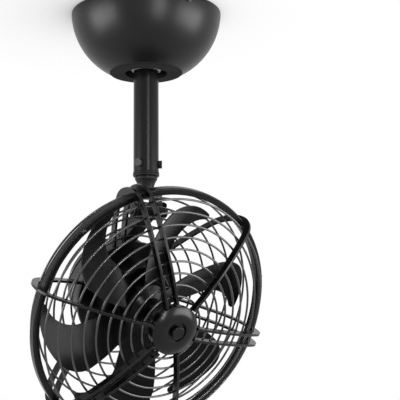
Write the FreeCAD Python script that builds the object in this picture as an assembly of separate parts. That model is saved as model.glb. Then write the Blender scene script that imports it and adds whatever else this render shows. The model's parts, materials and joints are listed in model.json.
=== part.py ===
"""Ceiling-hung tilting cage fan: canopy, downrod, swivel fork, tilting motor head, guard and six-blade rotor.

Millimetres. The origin is the centre of the ceiling plane on the downrod axis, +Z is up and the fan faces -Y.
The head is drawn in its own frame, fan axis along +Z and head top along +Y, then set into its tilted place.
"""
import math
import os

import FreeCAD
import Part
from FreeCAD import Vector as V

# Fits and clearances
RUN = 0.05          # radial clearance of a running fit
SEAT = 0.02         # clearance where a fixed piece seats on another
SLACK = 0.3         # room left at the blind end of a hole
CUT = 1.0           # how far a cutter runs past the face it opens

# Canopy
CANOPY_R = 80.0
CANOPY_BAND = 3.0
CANOPY_DEPTH = 65.0
CANOPY_FLAT_R = 38.0
CANOPY_HOLE_R = 22.4
CANOPY_WALL = 1.2
CANOPY_CORNER = 2.0
CANOPY_BULGE_SHARE = 0.85
CANOPY_BULGE_Z = -38.0
CANOPY_SCREW_Z = -5.0
CANOPY_SCREW_R = 2.0
CANOPY_SCREW_HEAD_R = 3.0
CANOPY_SCREW_HEAD = 1.8
CANOPY_SCREW_POINT = 1.5

# Hanger bracket
PLATE_T = 2.5
PLATE_X = 112.0
PLATE_Y = 44.0
TONGUE_X = 24.0
TAB_DROP = 14.0
TAB_ROOM = 3.6
LEG_X = 33.0
LEG_T = 2.5
LEG_Y = 24.0
SLOT_SPACING = 88.9
SLOT_R = 2.6
SLOT_LENGTH = 12.0
SEAT_TOP = -45.0
SEAT_BOTTOM = -57.0
SEAT_OUTER_R = LEG_X + LEG_T
WIRE_HOLE_R = 14.0
SEAT_MOUTH_ROOM = 4.0

# Receiver and terminal block under the bracket
RECEIVER_LENGTH = 60.0
RECEIVER_WIDTH = 24.0
RECEIVER_T = 17.0
RECEIVER_TO_TAB = 22.2
RECEIVER_CORNER = 2.0
TERMINAL_LENGTH = 34.0
TERMINAL_WIDTH = 16.0
TERMINAL_T = 12.0
TERMINAL_TO_TAB = 25.2
TERMINAL_PITCH = 11.0
TERMINAL_SCREW_R = 3.0
TERMINAL_WIRE_R = 2.2

# Hanger ball and downrod
BALL_R = 25.0
BALL_Z = -42.0
BALL_TOP = -25.0
BALL_BOTTOM = -62.5
PIN_R = 3.0
PIN_LENGTH = 44.0
ROD_R = 13.35
ROD_BORE_R = 10.45
ROD_TOP = -22.0
ROD_BOTTOM = -172.0

# Collar and its set screws at the lower end of the rod
COLLAR_TOP = -140.0
COLLAR_FLANGE = 5.0
COLLAR_R = 13.9
COLLAR_GROOVE = 0.8
COLLAR_GROOVE_HALF = 0.5
SET_SCREW_Z = -164.0
SET_SCREW_R = 2.5
SET_SCREW_DEPTH = 3.2
SET_SCREW_FLATS = 8.0
SET_SCREW_HEAD = 3.4
SET_SCREW_AZIMUTHS = (-155.0, -35.0, 85.0)

# Swivel
WASHER_T = 1.0
NECK_TOP_R = 11.8
NECK_LOW_R = 7.8
NECK_LENGTH = 15.0
NECK_BAND = 2.0
NECK_WAIST_R = 10.0
NECK_WAIST_DROP = 5.0
STUD_R = 6.0
STUD_BORE_R = 3.5
STUD_HEAD_R = 7.5
STUD_HEAD = 2.5
STUD_TOP = -132.0
NUT_FLATS = 16.0
NUT_T = 5.0
BRIDGE_T = 5.0
FORK_CORNER = 3.0

# Tilt hinge
PIVOT_Z = -213.0
TONGUE_HALF = 8.0
HINGE_WASHER_T = 1.0
HINGE_WASHER_R = 8.5
EAR_T = 6.5
EAR_R = 9.0
BOLT_R = 4.0
BOLT_HEAD_R = 7.0
BOLT_HEAD = 4.0
BOLT_CROWN_R = 5.6
BOLT_CROWN_TOP_R = 4.0
KNOB_HUB_R = 6.0
KNOB_HUB = 8.0
KNOB_WALL = 1.2
WING_REACH = 11.0
WING_T = 3.0
WING_TOP_R = 3.6
WING_ANGLE = 25.0

# Head placement
TILT_DOWN = 25.5
PIVOT_UP = 92.5
PIVOT_BACK = 55.5

# Guard
FRONT_APEX = 49.0
FRONT_NOSE_R = 24.9
REAR_APEX = 70.0
REAR_NOSE_R = 44.0
STRAP_DEPTH = 7.5
STRAP_T = 2.5
STRAP_OVER_HOOP = 5.2
PAIR_SPACING = 12.0
PAIR_ANGLES = (112.0, 232.0, 352.0)
SINGLE_ANGLES = (52.0, 172.0, 292.0)
HOOP_R = 134.8
HOOP_RADIAL = 7.0
HOOP_HALF = 4.5
HOOP_EDGE = 0.9
HOOP_SCREW_ANGLES = (142.0, 262.0, 22.0)
HOOP_SCREW_R = 1.5
HOOP_SCREW_HEAD_R = 2.7
HOOP_SCREW_HEAD = 1.8
WIRE_R = 1.1
WIRE_NOTCH = 0.5
WIRE_FIRST_R = 33.4
WIRE_LAST_IN = 8.6
FRONT_WIRE_COUNT = 9
REAR_WIRE_COUNT = 6
REAR_WIRE_GAP = 7.5

# Front hub
HUB_DISC_R = 24.5
HUB_DISC_T = 3.0
HUB_DISC_DROP = 1.6
HUB_TONGUE_R = 14.0
HUB_TONGUE_T = 4.0
CAP_R = 26.0
CAP_RIM = 4.0
CAP_HEIGHT = 8.1
CAP_BOW = 1.6
CAP_TO_STRAP = 1.0
CAP_RECESS_R = 10.5
CAP_RECESS = 3.0
BOSS_R = 6.75
BOSS_PROUD = 3.5
BOSS_EDGE = 1.0
BOSS_STEM_R = 3.0

# Rear hub
REAR_RING_DROP = 0.15
REAR_RING_T = 3.5
REAR_TONGUE_LENGTH = 3.2
REAR_TONGUE_GAP = 0.8
REAR_TONGUE_T = 5.0
REAR_TONGUE_STEP = 1.0
REAR_TO_STRAP = 1.5
REAR_SCREW_ANGLES = (142.0, 262.0, 22.0)
REAR_SCREW_R = 1.25
REAR_SCREW_HEAD_R = 2.2
REAR_SCREW_HEAD = 1.6

# Motor
MOTOR_R = 49.0
COVER_R = 40.0
COVER_EDGE = 5.0
COVER_FLANGE_T = 3.0
STACK_T = 28.0
MOTOR_FRONT = -27.0
MOTOR_BACK = -106.0
MOTOR_EDGE = 14.0
FLANGE_WIDTH = 5.5
FLANGE_T = 2.5
COVER_WALL = 2.5
SHAFT_R = 4.0
SHAFT_BACK = -102.0
SHAFT_FRONT = 16.0
CORE_R = 22.2
AIR_GAP = 0.4
WINDING_IN_R = 26.0
WINDING_GAP = 1.5
WINDING_T = 5.0
WINDING_EDGE = 2.0
BEARING_R = 8.0
BEARING_T = 5.0
BEARING_LIP = 2.0
BOSS_WALL = 2.5
VENT_COUNT = 12
VENT_R = 28.0
VENT_LENGTH = 12.0
VENT_HALF = 1.8

# Tilt arm
ARM_FOOT_X = 13.0
ARM_FOOT_T = 5.0
ARM_FOOT_FRONT = -60.5
ARM_FOOT_BACK = -98.0
ARM_FOOT_CORNER = 6.0
ARM_SHANK = 11.0
ARM_SCREW_Z = (-66.0, -93.0)
ARM_SCREW_R = 2.0
ARM_SCREW_HEAD_R = 3.6
ARM_SCREW_HEAD = 2.4

# Rotor
BLADE_COUNT = 6
BLADE_PHASE = 85.0
BLADE_TIP_GAP = 9.8
BLADE_TIP_ANGLE = -10.0
BLADE_T = 1.6
BLADE_HUB_R = 27.0
BLADE_HUB_BACK = -23.0
BLADE_HUB_STEP = -8.0
BLADE_HUB_FRONT = 2.0
BLADE_HUB_NECK_R = 15.0
LOCK_NUT_FLATS = 13.0
LOCK_NUT_T = 7.0
# Blade sections: share of the tip radius, lowest and highest station across the blade, pitch in degrees,
# cup depth and axial place
BLADE_SECTIONS = ((0.1695, -24.0, 28.0, 30.0, 3.0, -12.0), (0.5085, -24.0, 36.0, 27.0, 5.0, -9.0),
                  (0.7458, -36.0, 38.0, 27.0, 7.0, -3.0), (1.0339, -58.0, 30.0, 22.0, 8.0, 6.0))
# Blade outline along the fan axis: share of the tip radius, and station across the blade
BLADE_ROOT = ((0.1864, -10.0), (0.1864, 13.0))
BLADE_TRAIL = ((0.4237, 24.0), (0.6610, 28.5))
BLADE_SHOULDER = ((0.8305, 24.0), (0.9407, 10.0))
BLADE_HORN = ((0.9280, -44.0), (0.8941, -45.0), (0.8729, -41.0))
BLADE_LEAD = ((0.7881, -20.0), (0.6186, -10.0))

# Values worked out from the ones above
COLLAR_BOTTOM = ROD_BOTTOM - COLLAR_FLANGE
NECK_TOP = COLLAR_BOTTOM - WASHER_T
NECK_LOW = NECK_TOP - NECK_LENGTH
EAR_IN = TONGUE_HALF + HINGE_WASHER_T + 2 * RUN
EAR_OUT = EAR_IN + EAR_T
HOOP_IN_R = HOOP_R - HOOP_RADIAL
NOSE_REACH = HOOP_R + STRAP_OVER_HOOP
FRONT_HALF = (FRONT_APEX, FRONT_NOSE_R)
REAR_HALF = (REAR_APEX, REAR_NOSE_R)
FLANGE_R = MOTOR_R + FLANGE_WIDTH
REAR_SCREW_AT_R = MOTOR_R + FLANGE_WIDTH / 2
REAR_TONGUE_R = FLANGE_R + REAR_TONGUE_GAP
REAR_RING_R = REAR_TONGUE_R + REAR_TONGUE_LENGTH
WIRE_INSET = STRAP_DEPTH + WIRE_R - WIRE_NOTCH
BLADE_TIP_R = HOOP_IN_R - BLADE_TIP_GAP
MOTOR_IN_R = MOTOR_R - COVER_WALL
WINDING_OUT_R = COVER_R - COVER_WALL - WINDING_GAP
X_AXIS, Y_AXIS, Z_AXIS = V(1, 0, 0), V(0, 1, 0), V(0, 0, 1)
HEAD_TURN = FreeCAD.Rotation(X_AXIS, 90.0 + TILT_DOWN)
HOOP_CENTRE = V(0, 0, PIVOT_Z) - HEAD_TURN.multVec(V(0, PIVOT_UP, -PIVOT_BACK))
HEAD = FreeCAD.Placement(HOOP_CENTRE, HEAD_TURN)


def cyl(radius, low, high, axis=Z_AXIS, at=V(0, 0, 0)):
    """Cylinder along an axis through a point, between two stations on that axis."""
    return Part.makeCylinder(radius, high - low, at + axis * low, axis)


def ring(outer, inner, low, high):
    return cyl(outer, low, high).cut(cyl(inner, low - CUT, high + CUT))


def box(x0, x1, y0, y1, z0, z1):
    return Part.makeBox(x1 - x0, y1 - y0, z1 - z0, V(x0, y0, z0))


def line(a, b):
    return Part.LineSegment(a, b).toShape()


def arc(a, b, c):
    return Part.Arc(a, b, c).toShape()


def rz(r, z):
    """Point of a meridian outline: distance from the axis and height."""
    return V(r, 0, z)


def spin(points):
    """Turn a closed outline of (radius, height) points round the Z axis."""
    outline = Part.makePolygon([rz(*p) for p in points] + [rz(*points[0])])
    return Part.Face(outline).revolve(V(0, 0, 0), Z_AXIS, 360)


def spin_edges(edges):
    return Part.Face(Part.Wire(edges)).revolve(V(0, 0, 0), Z_AXIS, 360)


def hexagon(flats, low, high, axis=Z_AXIS, at=V(0, 0, 0)):
    """Hexagonal prism along an axis."""
    reach = flats / math.sqrt(3)
    corners = [polar(reach, 60 * i, low) for i in range(7)]
    prism = Part.Face(Part.makePolygon(corners)).extrude(V(0, 0, high - low))
    prism.Placement = FreeCAD.Placement(at, FreeCAD.Rotation(Z_AXIS, axis))
    return prism


def turned(shape, degrees):
    """Copy of a shape turned about the Z axis."""
    copy = shape.copy()
    copy.rotate(V(0, 0, 0), Z_AXIS, degrees)
    return copy


def polar(radius, degrees, z=0.0):
    return V(radius * math.cos(math.radians(degrees)), radius * math.sin(math.radians(degrees)), z)


def dome(half):
    """Radius of a guard half's dome, tangent to its nose arc, and distance of the nose arc's centre."""
    apex, nose_r = half
    centre = NOSE_REACH - nose_r
    return (centre ** 2 + apex ** 2 - nose_r ** 2) / (2 * (apex - nose_r)), centre


def join(half, inset):
    """Radius and height where the dome meets the nose, set in from the strap's outer edge."""
    dome_r, centre = dome(half)
    drop = half[0] - dome_r
    grow = (dome_r - inset) / math.hypot(centre, drop)
    return centre * grow, drop * (1 - grow)


def guard_z(half, inset, radius):
    """Height of the guard profile, set in from the strap's outer edge, at a distance from the fan axis."""
    apex, nose_r = half
    dome_r, centre = dome(half)
    if radius <= join(half, inset)[0]:
        return apex - dome_r + math.sqrt((dome_r - inset) ** 2 - radius ** 2)
    return math.sqrt((nose_r - inset) ** 2 - (radius - centre) ** 2)


def disc_top():
    """Front face of the front hub disc, under the inner ends of the straps."""
    return guard_z(FRONT_HALF, STRAP_DEPTH, HUB_DISC_R) - HUB_DISC_DROP


def cap_base():
    return disc_top() + HUB_TONGUE_T


def cap_top():
    return cap_base() + CAP_HEIGHT


def edges_along(block, axis):
    """Straight edges of a block that run along an axis."""
    def run(edge):
        return edge.Vertexes[1].Point - edge.Vertexes[0].Point

    return [edge for edge in block.Edges if abs(run(edge).dot(axis)) > edge.Length / 2]


# Motor places along the fan axis, set by the rear guard
REAR_RING_FACE = -guard_z(REAR_HALF, STRAP_DEPTH, REAR_RING_R + REAR_TO_STRAP) - REAR_RING_DROP
COVER_FACE = REAR_RING_FACE - SEAT
STACK_FRONT = COVER_FACE - COVER_FLANGE_T - SEAT
STACK_BACK = STACK_FRONT - STACK_T


# Ceiling pieces

def canopy():
    """Bowl shell: a short upright band, one long arc and a flat bottom with the rod hole."""
    w = CANOPY_WALL
    corner, low = CANOPY_CORNER, -CANOPY_DEPTH
    bulge, foot = CANOPY_R * CANOPY_BULGE_SHARE, CANOPY_FLAT_R + CANOPY_CORNER
    outer = [line(rz(CANOPY_R, 0), rz(CANOPY_R, -CANOPY_BAND)),
             arc(rz(CANOPY_R, -CANOPY_BAND), rz(bulge, CANOPY_BULGE_Z), rz(foot, low + corner)),
             line(rz(foot, low + corner), rz(CANOPY_FLAT_R, low)),
             line(rz(CANOPY_FLAT_R, low), rz(CANOPY_HOLE_R, low)),
             line(rz(CANOPY_HOLE_R, low), rz(CANOPY_HOLE_R, low + w))]
    inner = [line(rz(CANOPY_HOLE_R, low + w), rz(CANOPY_FLAT_R - w / 2, low + w)),
             line(rz(CANOPY_FLAT_R - w / 2, low + w), rz(foot - w, low + corner + w / 2)),
             arc(rz(foot - w, low + corner + w / 2), rz(bulge - w, CANOPY_BULGE_Z + w / 2),
                 rz(CANOPY_R - w, -CANOPY_BAND)),
             line(rz(CANOPY_R - w, -CANOPY_BAND), rz(CANOPY_R - w, 0)),
             line(rz(CANOPY_R - w, 0), rz(CANOPY_R, 0))]
    bowl = spin_edges(outer + inner)
    for way in (1, -1):
        at = V(0, 0, CANOPY_SCREW_Z)
        bowl = bowl.cut(cyl(CANOPY_SCREW_R + SEAT, tab_face(), CANOPY_R + CUT, Y_AXIS * way, at))
    return bowl


def tab_face():
    """Distance of the bracket tab's outer face from the axis, just inside the canopy wall."""
    return CANOPY_R - CANOPY_WALL - TAB_ROOM


def hanger_bracket():
    """Pressed steel bracket: ceiling plate, two down-turned tabs, two legs and the open seat for the ball."""
    face = tab_face()
    plate = box(-PLATE_X / 2, PLATE_X / 2, -PLATE_Y / 2, PLATE_Y / 2, -PLATE_T, 0)
    plate = plate.fuse(box(-TONGUE_X / 2, TONGUE_X / 2, -face, face, -PLATE_T, 0))
    for way in (1, -1):
        tab = box(-TONGUE_X / 2, TONGUE_X / 2, face - PLATE_T, face, -TAB_DROP, 0)
        leg = box(LEG_X, LEG_X + LEG_T, -LEG_Y / 2, LEG_Y / 2, SEAT_BOTTOM, 0)
        if way < 0:
            tab.rotate(V(0, 0, 0), Z_AXIS, 180)
            leg.rotate(V(0, 0, 0), Z_AXIS, 180)
        plate = plate.fuse([tab, leg])
    seat = cyl(SEAT_OUTER_R, SEAT_BOTTOM, SEAT_TOP).cut(Part.makeSphere(BALL_R + 2 * RUN, V(0, 0, BALL_Z)))
    mouth = ROD_R + SEAT_MOUTH_ROOM
    seat = seat.cut(box(-mouth, mouth, -SEAT_OUTER_R - CUT, 0, SEAT_BOTTOM - CUT, SEAT_TOP + CUT))
    seat = seat.common(box(-SEAT_OUTER_R, SEAT_OUTER_R, -LEG_Y, SEAT_OUTER_R, SEAT_BOTTOM, SEAT_TOP))
    plate = plate.fuse(seat)
    plate = plate.cut(cyl(WIRE_HOLE_R, -PLATE_T - CUT, CUT))
    for way in (1, -1):
        half = SLOT_LENGTH / 2 - SLOT_R
        mid = way * SLOT_SPACING / 2
        slot = box(mid - half, mid + half, -SLOT_R, SLOT_R, -PLATE_T - CUT, CUT)
        slot = slot.fuse([cyl(SLOT_R, -PLATE_T - CUT, CUT, Z_AXIS, V(mid + s * half, 0, 0)) for s in (1, -1)])
        at = V(0, 0, CANOPY_SCREW_Z)
        hole = cyl(CANOPY_SCREW_R + SEAT, face - PLATE_T - CUT, face + CUT, Y_AXIS * way, at)
        plate = plate.cut([slot, hole])
    return plate.removeSplitter()


def canopy_screws():
    """Two round-head screws through the canopy band into the bracket tabs."""
    start = CANOPY_R + SEAT
    screws = []
    for way in (1, -1):
        at = V(0, 0, CANOPY_SCREW_Z)
        shank = cyl(CANOPY_SCREW_R, tab_face() - PLATE_T - CANOPY_SCREW_POINT, start, Y_AXIS * way, at)
        head = cyl(CANOPY_SCREW_HEAD_R, start, start + CANOPY_SCREW_HEAD, Y_AXIS * way, at)
        screws.append(shank.fuse(head).removeSplitter())
    return Part.makeCompound(screws)


def receiver_module():
    """Control receiver in a small plastic box under the bracket tongue, at the back."""
    top, half, back = -PLATE_T - SEAT, RECEIVER_LENGTH / 2, tab_face() - RECEIVER_TO_TAB
    case = box(-half, half, back - RECEIVER_WIDTH, back, top - RECEIVER_T, top)
    return case.makeFillet(RECEIVER_CORNER, edges_along(case, Z_AXIS))


def terminal_block():
    """Three-way terminal strip under the bracket tongue, at the front."""
    top, half, front = -PLATE_T - SEAT, TERMINAL_LENGTH / 2, TERMINAL_TO_TAB - tab_face()
    back, low = front + TERMINAL_WIDTH, top - TERMINAL_T
    block = box(-half, half, front, back, low, top)
    for way in (-1, 0, 1):
        at = V(way * TERMINAL_PITCH, (front + back) / 2, 0)
        block = block.cut(cyl(TERMINAL_SCREW_R, low - CUT, low + TERMINAL_T / 2, Z_AXIS, at))
        way_in = V(at.x, 0, low + TERMINAL_T / 4)
        block = block.cut(cyl(TERMINAL_WIRE_R, front - CUT, back + CUT, Y_AXIS, way_in))
    return block


# Downrod pieces

def hanger_ball():
    """Ball with flat ends, rod bore and cross-pin hole."""
    ball = Part.makeSphere(BALL_R, V(0, 0, BALL_Z)).common(cyl(BALL_R + CUT, BALL_BOTTOM, BALL_TOP))
    ball = ball.cut(cyl(ROD_R + SEAT, BALL_BOTTOM - CUT, BALL_TOP + CUT))
    return ball.cut(cyl(PIN_R + SEAT, -BALL_R - CUT, BALL_R + CUT, X_AXIS, V(0, 0, BALL_Z)))


def hanger_pin():
    return cyl(PIN_R, -PIN_LENGTH / 2, PIN_LENGTH / 2, X_AXIS, V(0, 0, BALL_Z))


def downrod():
    """Steel tube with the cross-pin hole above and three set-screw holes below."""
    tube = ring(ROD_R, ROD_BORE_R, ROD_BOTTOM, ROD_TOP)
    tube = tube.cut(cyl(PIN_R + SEAT, -ROD_R - CUT, ROD_R + CUT, X_AXIS, V(0, 0, BALL_Z)))
    for azimuth in SET_SCREW_AZIMUTHS:
        out, at = polar(1, azimuth), V(0, 0, SET_SCREW_Z)
        tube = tube.cut(cyl(SET_SCREW_R + SEAT, ROD_BORE_R / 2, ROD_R + CUT, out, at))
    return tube


def rod_collar():
    """Turned collar: a plug inside the rod and a beaded flange below its end."""
    flange_top = ROD_BOTTOM - SEAT
    groove = COLLAR_GROOVE
    middle, half = (flange_top + COLLAR_BOTTOM) / 2, COLLAR_GROOVE_HALF
    plug = ROD_BORE_R - SEAT
    bore = STUD_R + RUN
    collar = spin([(bore, COLLAR_TOP), (plug, COLLAR_TOP), (plug, flange_top),
                   (COLLAR_R - groove, flange_top), (COLLAR_R, flange_top - groove),
                   (COLLAR_R, middle + half), (COLLAR_R - groove, middle), (COLLAR_R, middle - half),
                   (COLLAR_R, COLLAR_BOTTOM + groove), (COLLAR_R - groove, COLLAR_BOTTOM),
                   (bore, COLLAR_BOTTOM)])
    for azimuth in SET_SCREW_AZIMUTHS:
        out, at = polar(1, azimuth), V(0, 0, SET_SCREW_Z)
        collar = collar.cut(cyl(SET_SCREW_R + SEAT, plug - SET_SCREW_DEPTH - SEAT, ROD_R, out, at))
    return collar


def collar_screws():
    """Three hex-head set screws that lock the collar in the rod."""
    start = ROD_R + SEAT
    screws = []
    for azimuth in SET_SCREW_AZIMUTHS:
        out, at = polar(1, azimuth), V(0, 0, SET_SCREW_Z)
        shank = cyl(SET_SCREW_R, ROD_BORE_R - SET_SCREW_DEPTH, start, out, at)
        head = hexagon(SET_SCREW_FLATS, start, start + SET_SCREW_HEAD, out, at)
        screws.append(shank.fuse(head).removeSplitter())
    return Part.makeCompound(screws)


# Swivel pieces

def swivel_washer():
    return ring(NECK_TOP_R, STUD_R + RUN, NECK_TOP + SEAT, COLLAR_BOTTOM - SEAT)


def swivel_fork():
    """Waisted neck above a bridge with two round ears for the tilt bolt."""
    bore = STUD_R + SEAT
    bridge_low = NECK_LOW - BRIDGE_T
    waist = [line(rz(bore, NECK_TOP), rz(NECK_TOP_R, NECK_TOP)),
             line(rz(NECK_TOP_R, NECK_TOP), rz(NECK_TOP_R, NECK_TOP - NECK_BAND)),
             arc(rz(NECK_TOP_R, NECK_TOP - NECK_BAND), rz(NECK_WAIST_R, NECK_TOP - NECK_WAIST_DROP),
                 rz(NECK_LOW_R, NECK_LOW)),
             line(rz(NECK_LOW_R, NECK_LOW), rz(NECK_LOW_R, bridge_low)),
             line(rz(NECK_LOW_R, bridge_low), rz(bore, bridge_low)),
             line(rz(bore, bridge_low), rz(bore, NECK_TOP))]
    fork = spin_edges(waist)
    fork = fork.fuse(fork_block(bridge_low, NECK_LOW).cut(cyl(bore, bridge_low - CUT, NECK_LOW + CUT)))
    pivot = V(0, 0, PIVOT_Z)
    for way in (1, -1):
        ear = cyl(EAR_R, EAR_IN, EAR_OUT, X_AXIS * way, pivot)
        web_top = bridge_low + BRIDGE_T / 2
        web = box(EAR_IN, EAR_OUT, -EAR_R, EAR_R, PIVOT_Z, web_top)
        if way < 0:
            web.rotate(V(0, 0, 0), Z_AXIS, 180)
        fork = fork.fuse([ear, web.common(fork_block(PIVOT_Z, web_top))])
    return fork.cut(cyl(BOLT_R + SEAT, -EAR_OUT - CUT, EAR_OUT + CUT, X_AXIS, pivot)).removeSplitter()


def fork_block(low, high):
    """Block with the rounded plan outline of the fork."""
    block = box(-EAR_OUT, EAR_OUT, -EAR_R, EAR_R, low, high)
    return block.makeFillet(FORK_CORNER, edges_along(block, Z_AXIS))


def swivel_stud():
    """Hollow stud that hangs the fork from the collar and lets the wires through."""
    head_top = NECK_LOW - BRIDGE_T - SEAT
    stud = cyl(STUD_R, head_top, STUD_TOP).fuse(cyl(STUD_HEAD_R, head_top - STUD_HEAD, head_top))
    return stud.cut(cyl(STUD_BORE_R, head_top - STUD_HEAD - CUT, STUD_TOP + CUT)).removeSplitter()


def swivel_nut():
    low = COLLAR_TOP + SEAT
    return hexagon(NUT_FLATS, low, low + NUT_T).cut(cyl(STUD_R + SEAT, low - CUT, low + NUT_T + CUT))


def hinge_washers():
    pivot = V(0, 0, PIVOT_Z)
    low, high = TONGUE_HALF + RUN, TONGUE_HALF + RUN + HINGE_WASHER_T
    washers = []
    for way in (1, -1):
        disc = cyl(HINGE_WASHER_R, low, high, X_AXIS * way, pivot)
        washers.append(disc.cut(cyl(BOLT_R + SEAT, low - CUT, high + CUT, X_AXIS * way, pivot)))
    return Part.makeCompound(washers)


def tilt_bolt():
    """Hinge bolt with a stepped round head on the left and its plain end in the knob."""
    pivot = V(0, 0, PIVOT_Z)
    seat = EAR_OUT + SEAT
    bolt = cyl(BOLT_R, -seat, EAR_OUT + KNOB_HUB - KNOB_WALL - SLACK, X_AXIS, pivot)
    head = cyl(BOLT_HEAD_R, seat, seat + BOLT_HEAD / 2, X_AXIS * -1, pivot)
    top = V(-seat - BOLT_HEAD / 2, 0, PIVOT_Z)
    crown = Part.makeCone(BOLT_CROWN_R, BOLT_CROWN_TOP_R, BOLT_HEAD / 2, top, X_AXIS * -1)
    return bolt.fuse([head, crown]).removeSplitter()


def tilt_knob():
    """Wing knob on the right-hand end of the tilt bolt."""
    pivot = V(0, 0, PIVOT_Z)
    start = EAR_OUT + 2 * RUN
    knob = cyl(KNOB_HUB_R, start, start + KNOB_HUB, X_AXIS, pivot)
    middle = start + KNOB_HUB / 2
    for way in (1, -1):
        reach, half = WING_REACH - WING_TOP_R, WING_T / 2
        wing = box(middle - WING_TOP_R, middle + WING_TOP_R, -half, half, 0, reach)
        wing = wing.fuse(cyl(WING_TOP_R, -half, half, Y_AXIS, V(middle, 0, reach)))
        wing.rotate(V(0, 0, 0), X_AXIS, WING_ANGLE + (0 if way > 0 else 180))
        wing.translate(pivot)
        knob = knob.fuse(wing)
    bore = cyl(BOLT_R + RUN, start - CUT, start + KNOB_HUB - KNOB_WALL, X_AXIS, pivot)
    return knob.cut(bore).removeSplitter()


# Guard pieces, in the head frame

def strap_outline(half, inner_end):
    """Face of one strap from its inner end to the nose, with the seat that holds half of the hoop."""
    nose_r, centre = half[1], dome(half)[1]
    depth = STRAP_DEPTH

    def nose_point(inset, height):
        return rz(centre + math.sqrt((nose_r - inset) ** 2 - height ** 2), height)

    start, tongue = inner_end
    middle = (start + join(half, depth)[0]) / 2
    out_join, in_join = rz(*join(half, 0)), rz(*join(half, depth))
    hoop_r, hoop_z = HOOP_R + SEAT, HOOP_HALF + SEAT
    foot = nose_point(depth, hoop_z)
    first, last = rz(start, guard_z(half, 0, start)), rz(start, guard_z(half, depth, start))
    edges = [arc(first, rz(middle, guard_z(half, 0, middle)), out_join),
             arc(out_join, nose_point(0, out_join.z / 2), rz(NOSE_REACH, 0)),
             line(rz(NOSE_REACH, 0), rz(hoop_r, 0)),
             line(rz(hoop_r, 0), rz(hoop_r, hoop_z)),
             line(rz(hoop_r, hoop_z), foot),
             arc(foot, nose_point(depth, (foot.z + in_join.z) / 2), in_join),
             arc(in_join, rz(middle, guard_z(half, depth, middle)), last)]
    points = [last] + tongue + [first]
    edges += [line(a, b) for a, b in zip(points, points[1:])]
    return Part.Face(Part.Wire(edges))


def strap_plate(half, inner_end, offset, wires):
    """Strap plate on edge, set off sideways from the meridian and notched for the wires."""
    plate = strap_outline(half, inner_end)
    plate.translate(V(0, offset - STRAP_T / 2, 0))
    return plate.extrude(V(0, STRAP_T, 0)).cut(wires)


def wire_rings(half, first, count, radius):
    """Evenly spaced round wire hoops on the inside of the straps, the last one just inside the hoop."""
    step = (HOOP_R - WIRE_LAST_IN - first) / (count - 1)
    places = [first + step * number for number in range(count)]
    return [Part.makeTorus(at, radius, V(0, 0, guard_z(half, WIRE_INSET, at))) for at in places]


def to_rear(shape):
    """Mirror a front guard shape into the rear guard."""
    return shape.mirror(V(0, 0, 0), Z_AXIS)


def front_inner_end():
    """Tongue of a front strap, held between the hub disc and the cap."""
    start, seat = CAP_R + CAP_TO_STRAP, disc_top() + SEAT
    return start, [rz(HUB_DISC_R, seat), rz(HUB_TONGUE_R, seat), rz(HUB_TONGUE_R, cap_base()),
                   rz(start, cap_base())]


def rear_inner_end():
    """Tongue of a rear strap, on the back of the rear hub ring."""
    start = REAR_RING_R + REAR_TO_STRAP
    face = -REAR_RING_FACE + SEAT
    return start, [rz(REAR_RING_R, face), rz(REAR_TONGUE_R, face), rz(REAR_TONGUE_R, face + REAR_TONGUE_T),
                   rz(start - REAR_TONGUE_STEP, face + REAR_TONGUE_T)]


def front_wires(radius):
    return wire_rings(FRONT_HALF, WIRE_FIRST_R, FRONT_WIRE_COUNT, radius)


def rear_wires(radius):
    """Rear wire hoops, drawn in front before they are mirrored."""
    return wire_rings(REAR_HALF, REAR_RING_R + REAR_WIRE_GAP, REAR_WIRE_COUNT, radius)


def straps(name, half, inner_end, cutters, place):
    """Three pairs and three single straps of one guard half."""
    single = place(strap_plate(half, inner_end, 0.0, cutters))
    pair = [place(strap_plate(half, inner_end, way * PAIR_SPACING / 2, cutters)) for way in (1, -1)]
    nodes = {}
    for number, angle in enumerate(PAIR_ANGLES, 1):
        nodes[f"{name}_strap_pair_{number}"] = Part.makeCompound([turned(plate, angle) for plate in pair])
    for number, angle in enumerate(SINGLE_ANGLES, 1):
        nodes[f"{name}_strap_{number}"] = turned(single, angle)
    return nodes


def hoop_ring():
    """Front half of the hoop with broken edges and three screw holes."""
    e = HOOP_EDGE
    half = spin([(HOOP_IN_R, 0), (HOOP_R, 0), (HOOP_R, HOOP_HALF - e), (HOOP_R - e, HOOP_HALF),
                 (HOOP_IN_R + e, HOOP_HALF), (HOOP_IN_R, HOOP_HALF - e)])
    for angle in HOOP_SCREW_ANGLES:
        at = polar(HOOP_R - HOOP_RADIAL / 2, angle)
        half = half.cut(cyl(HOOP_SCREW_R + SEAT, -CUT, HOOP_HALF + CUT, Z_AXIS, at))
    return half


def hoop_screws():
    """Three screws that hold the two hoop halves together."""
    screws = []
    for angle in HOOP_SCREW_ANGLES:
        at = polar(HOOP_R - HOOP_RADIAL / 2, angle)
        top = HOOP_HALF + SEAT
        shank = cyl(HOOP_SCREW_R, -HOOP_HALF, top, Z_AXIS, at)
        head = cyl(HOOP_SCREW_HEAD_R, top, top + HOOP_SCREW_HEAD, Z_AXIS, at)
        screws.append(shank.fuse(head).removeSplitter())
    return Part.makeCompound(screws)


def front_hub_disc():
    """Disc that carries the inner ends of the front straps."""
    disc = cyl(HUB_DISC_R, disc_top() - HUB_DISC_T, disc_top())
    return disc.cut(cyl(BOSS_STEM_R + SEAT, disc_top() - HUB_DISC_T - CUT, disc_top() + CUT))


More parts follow.
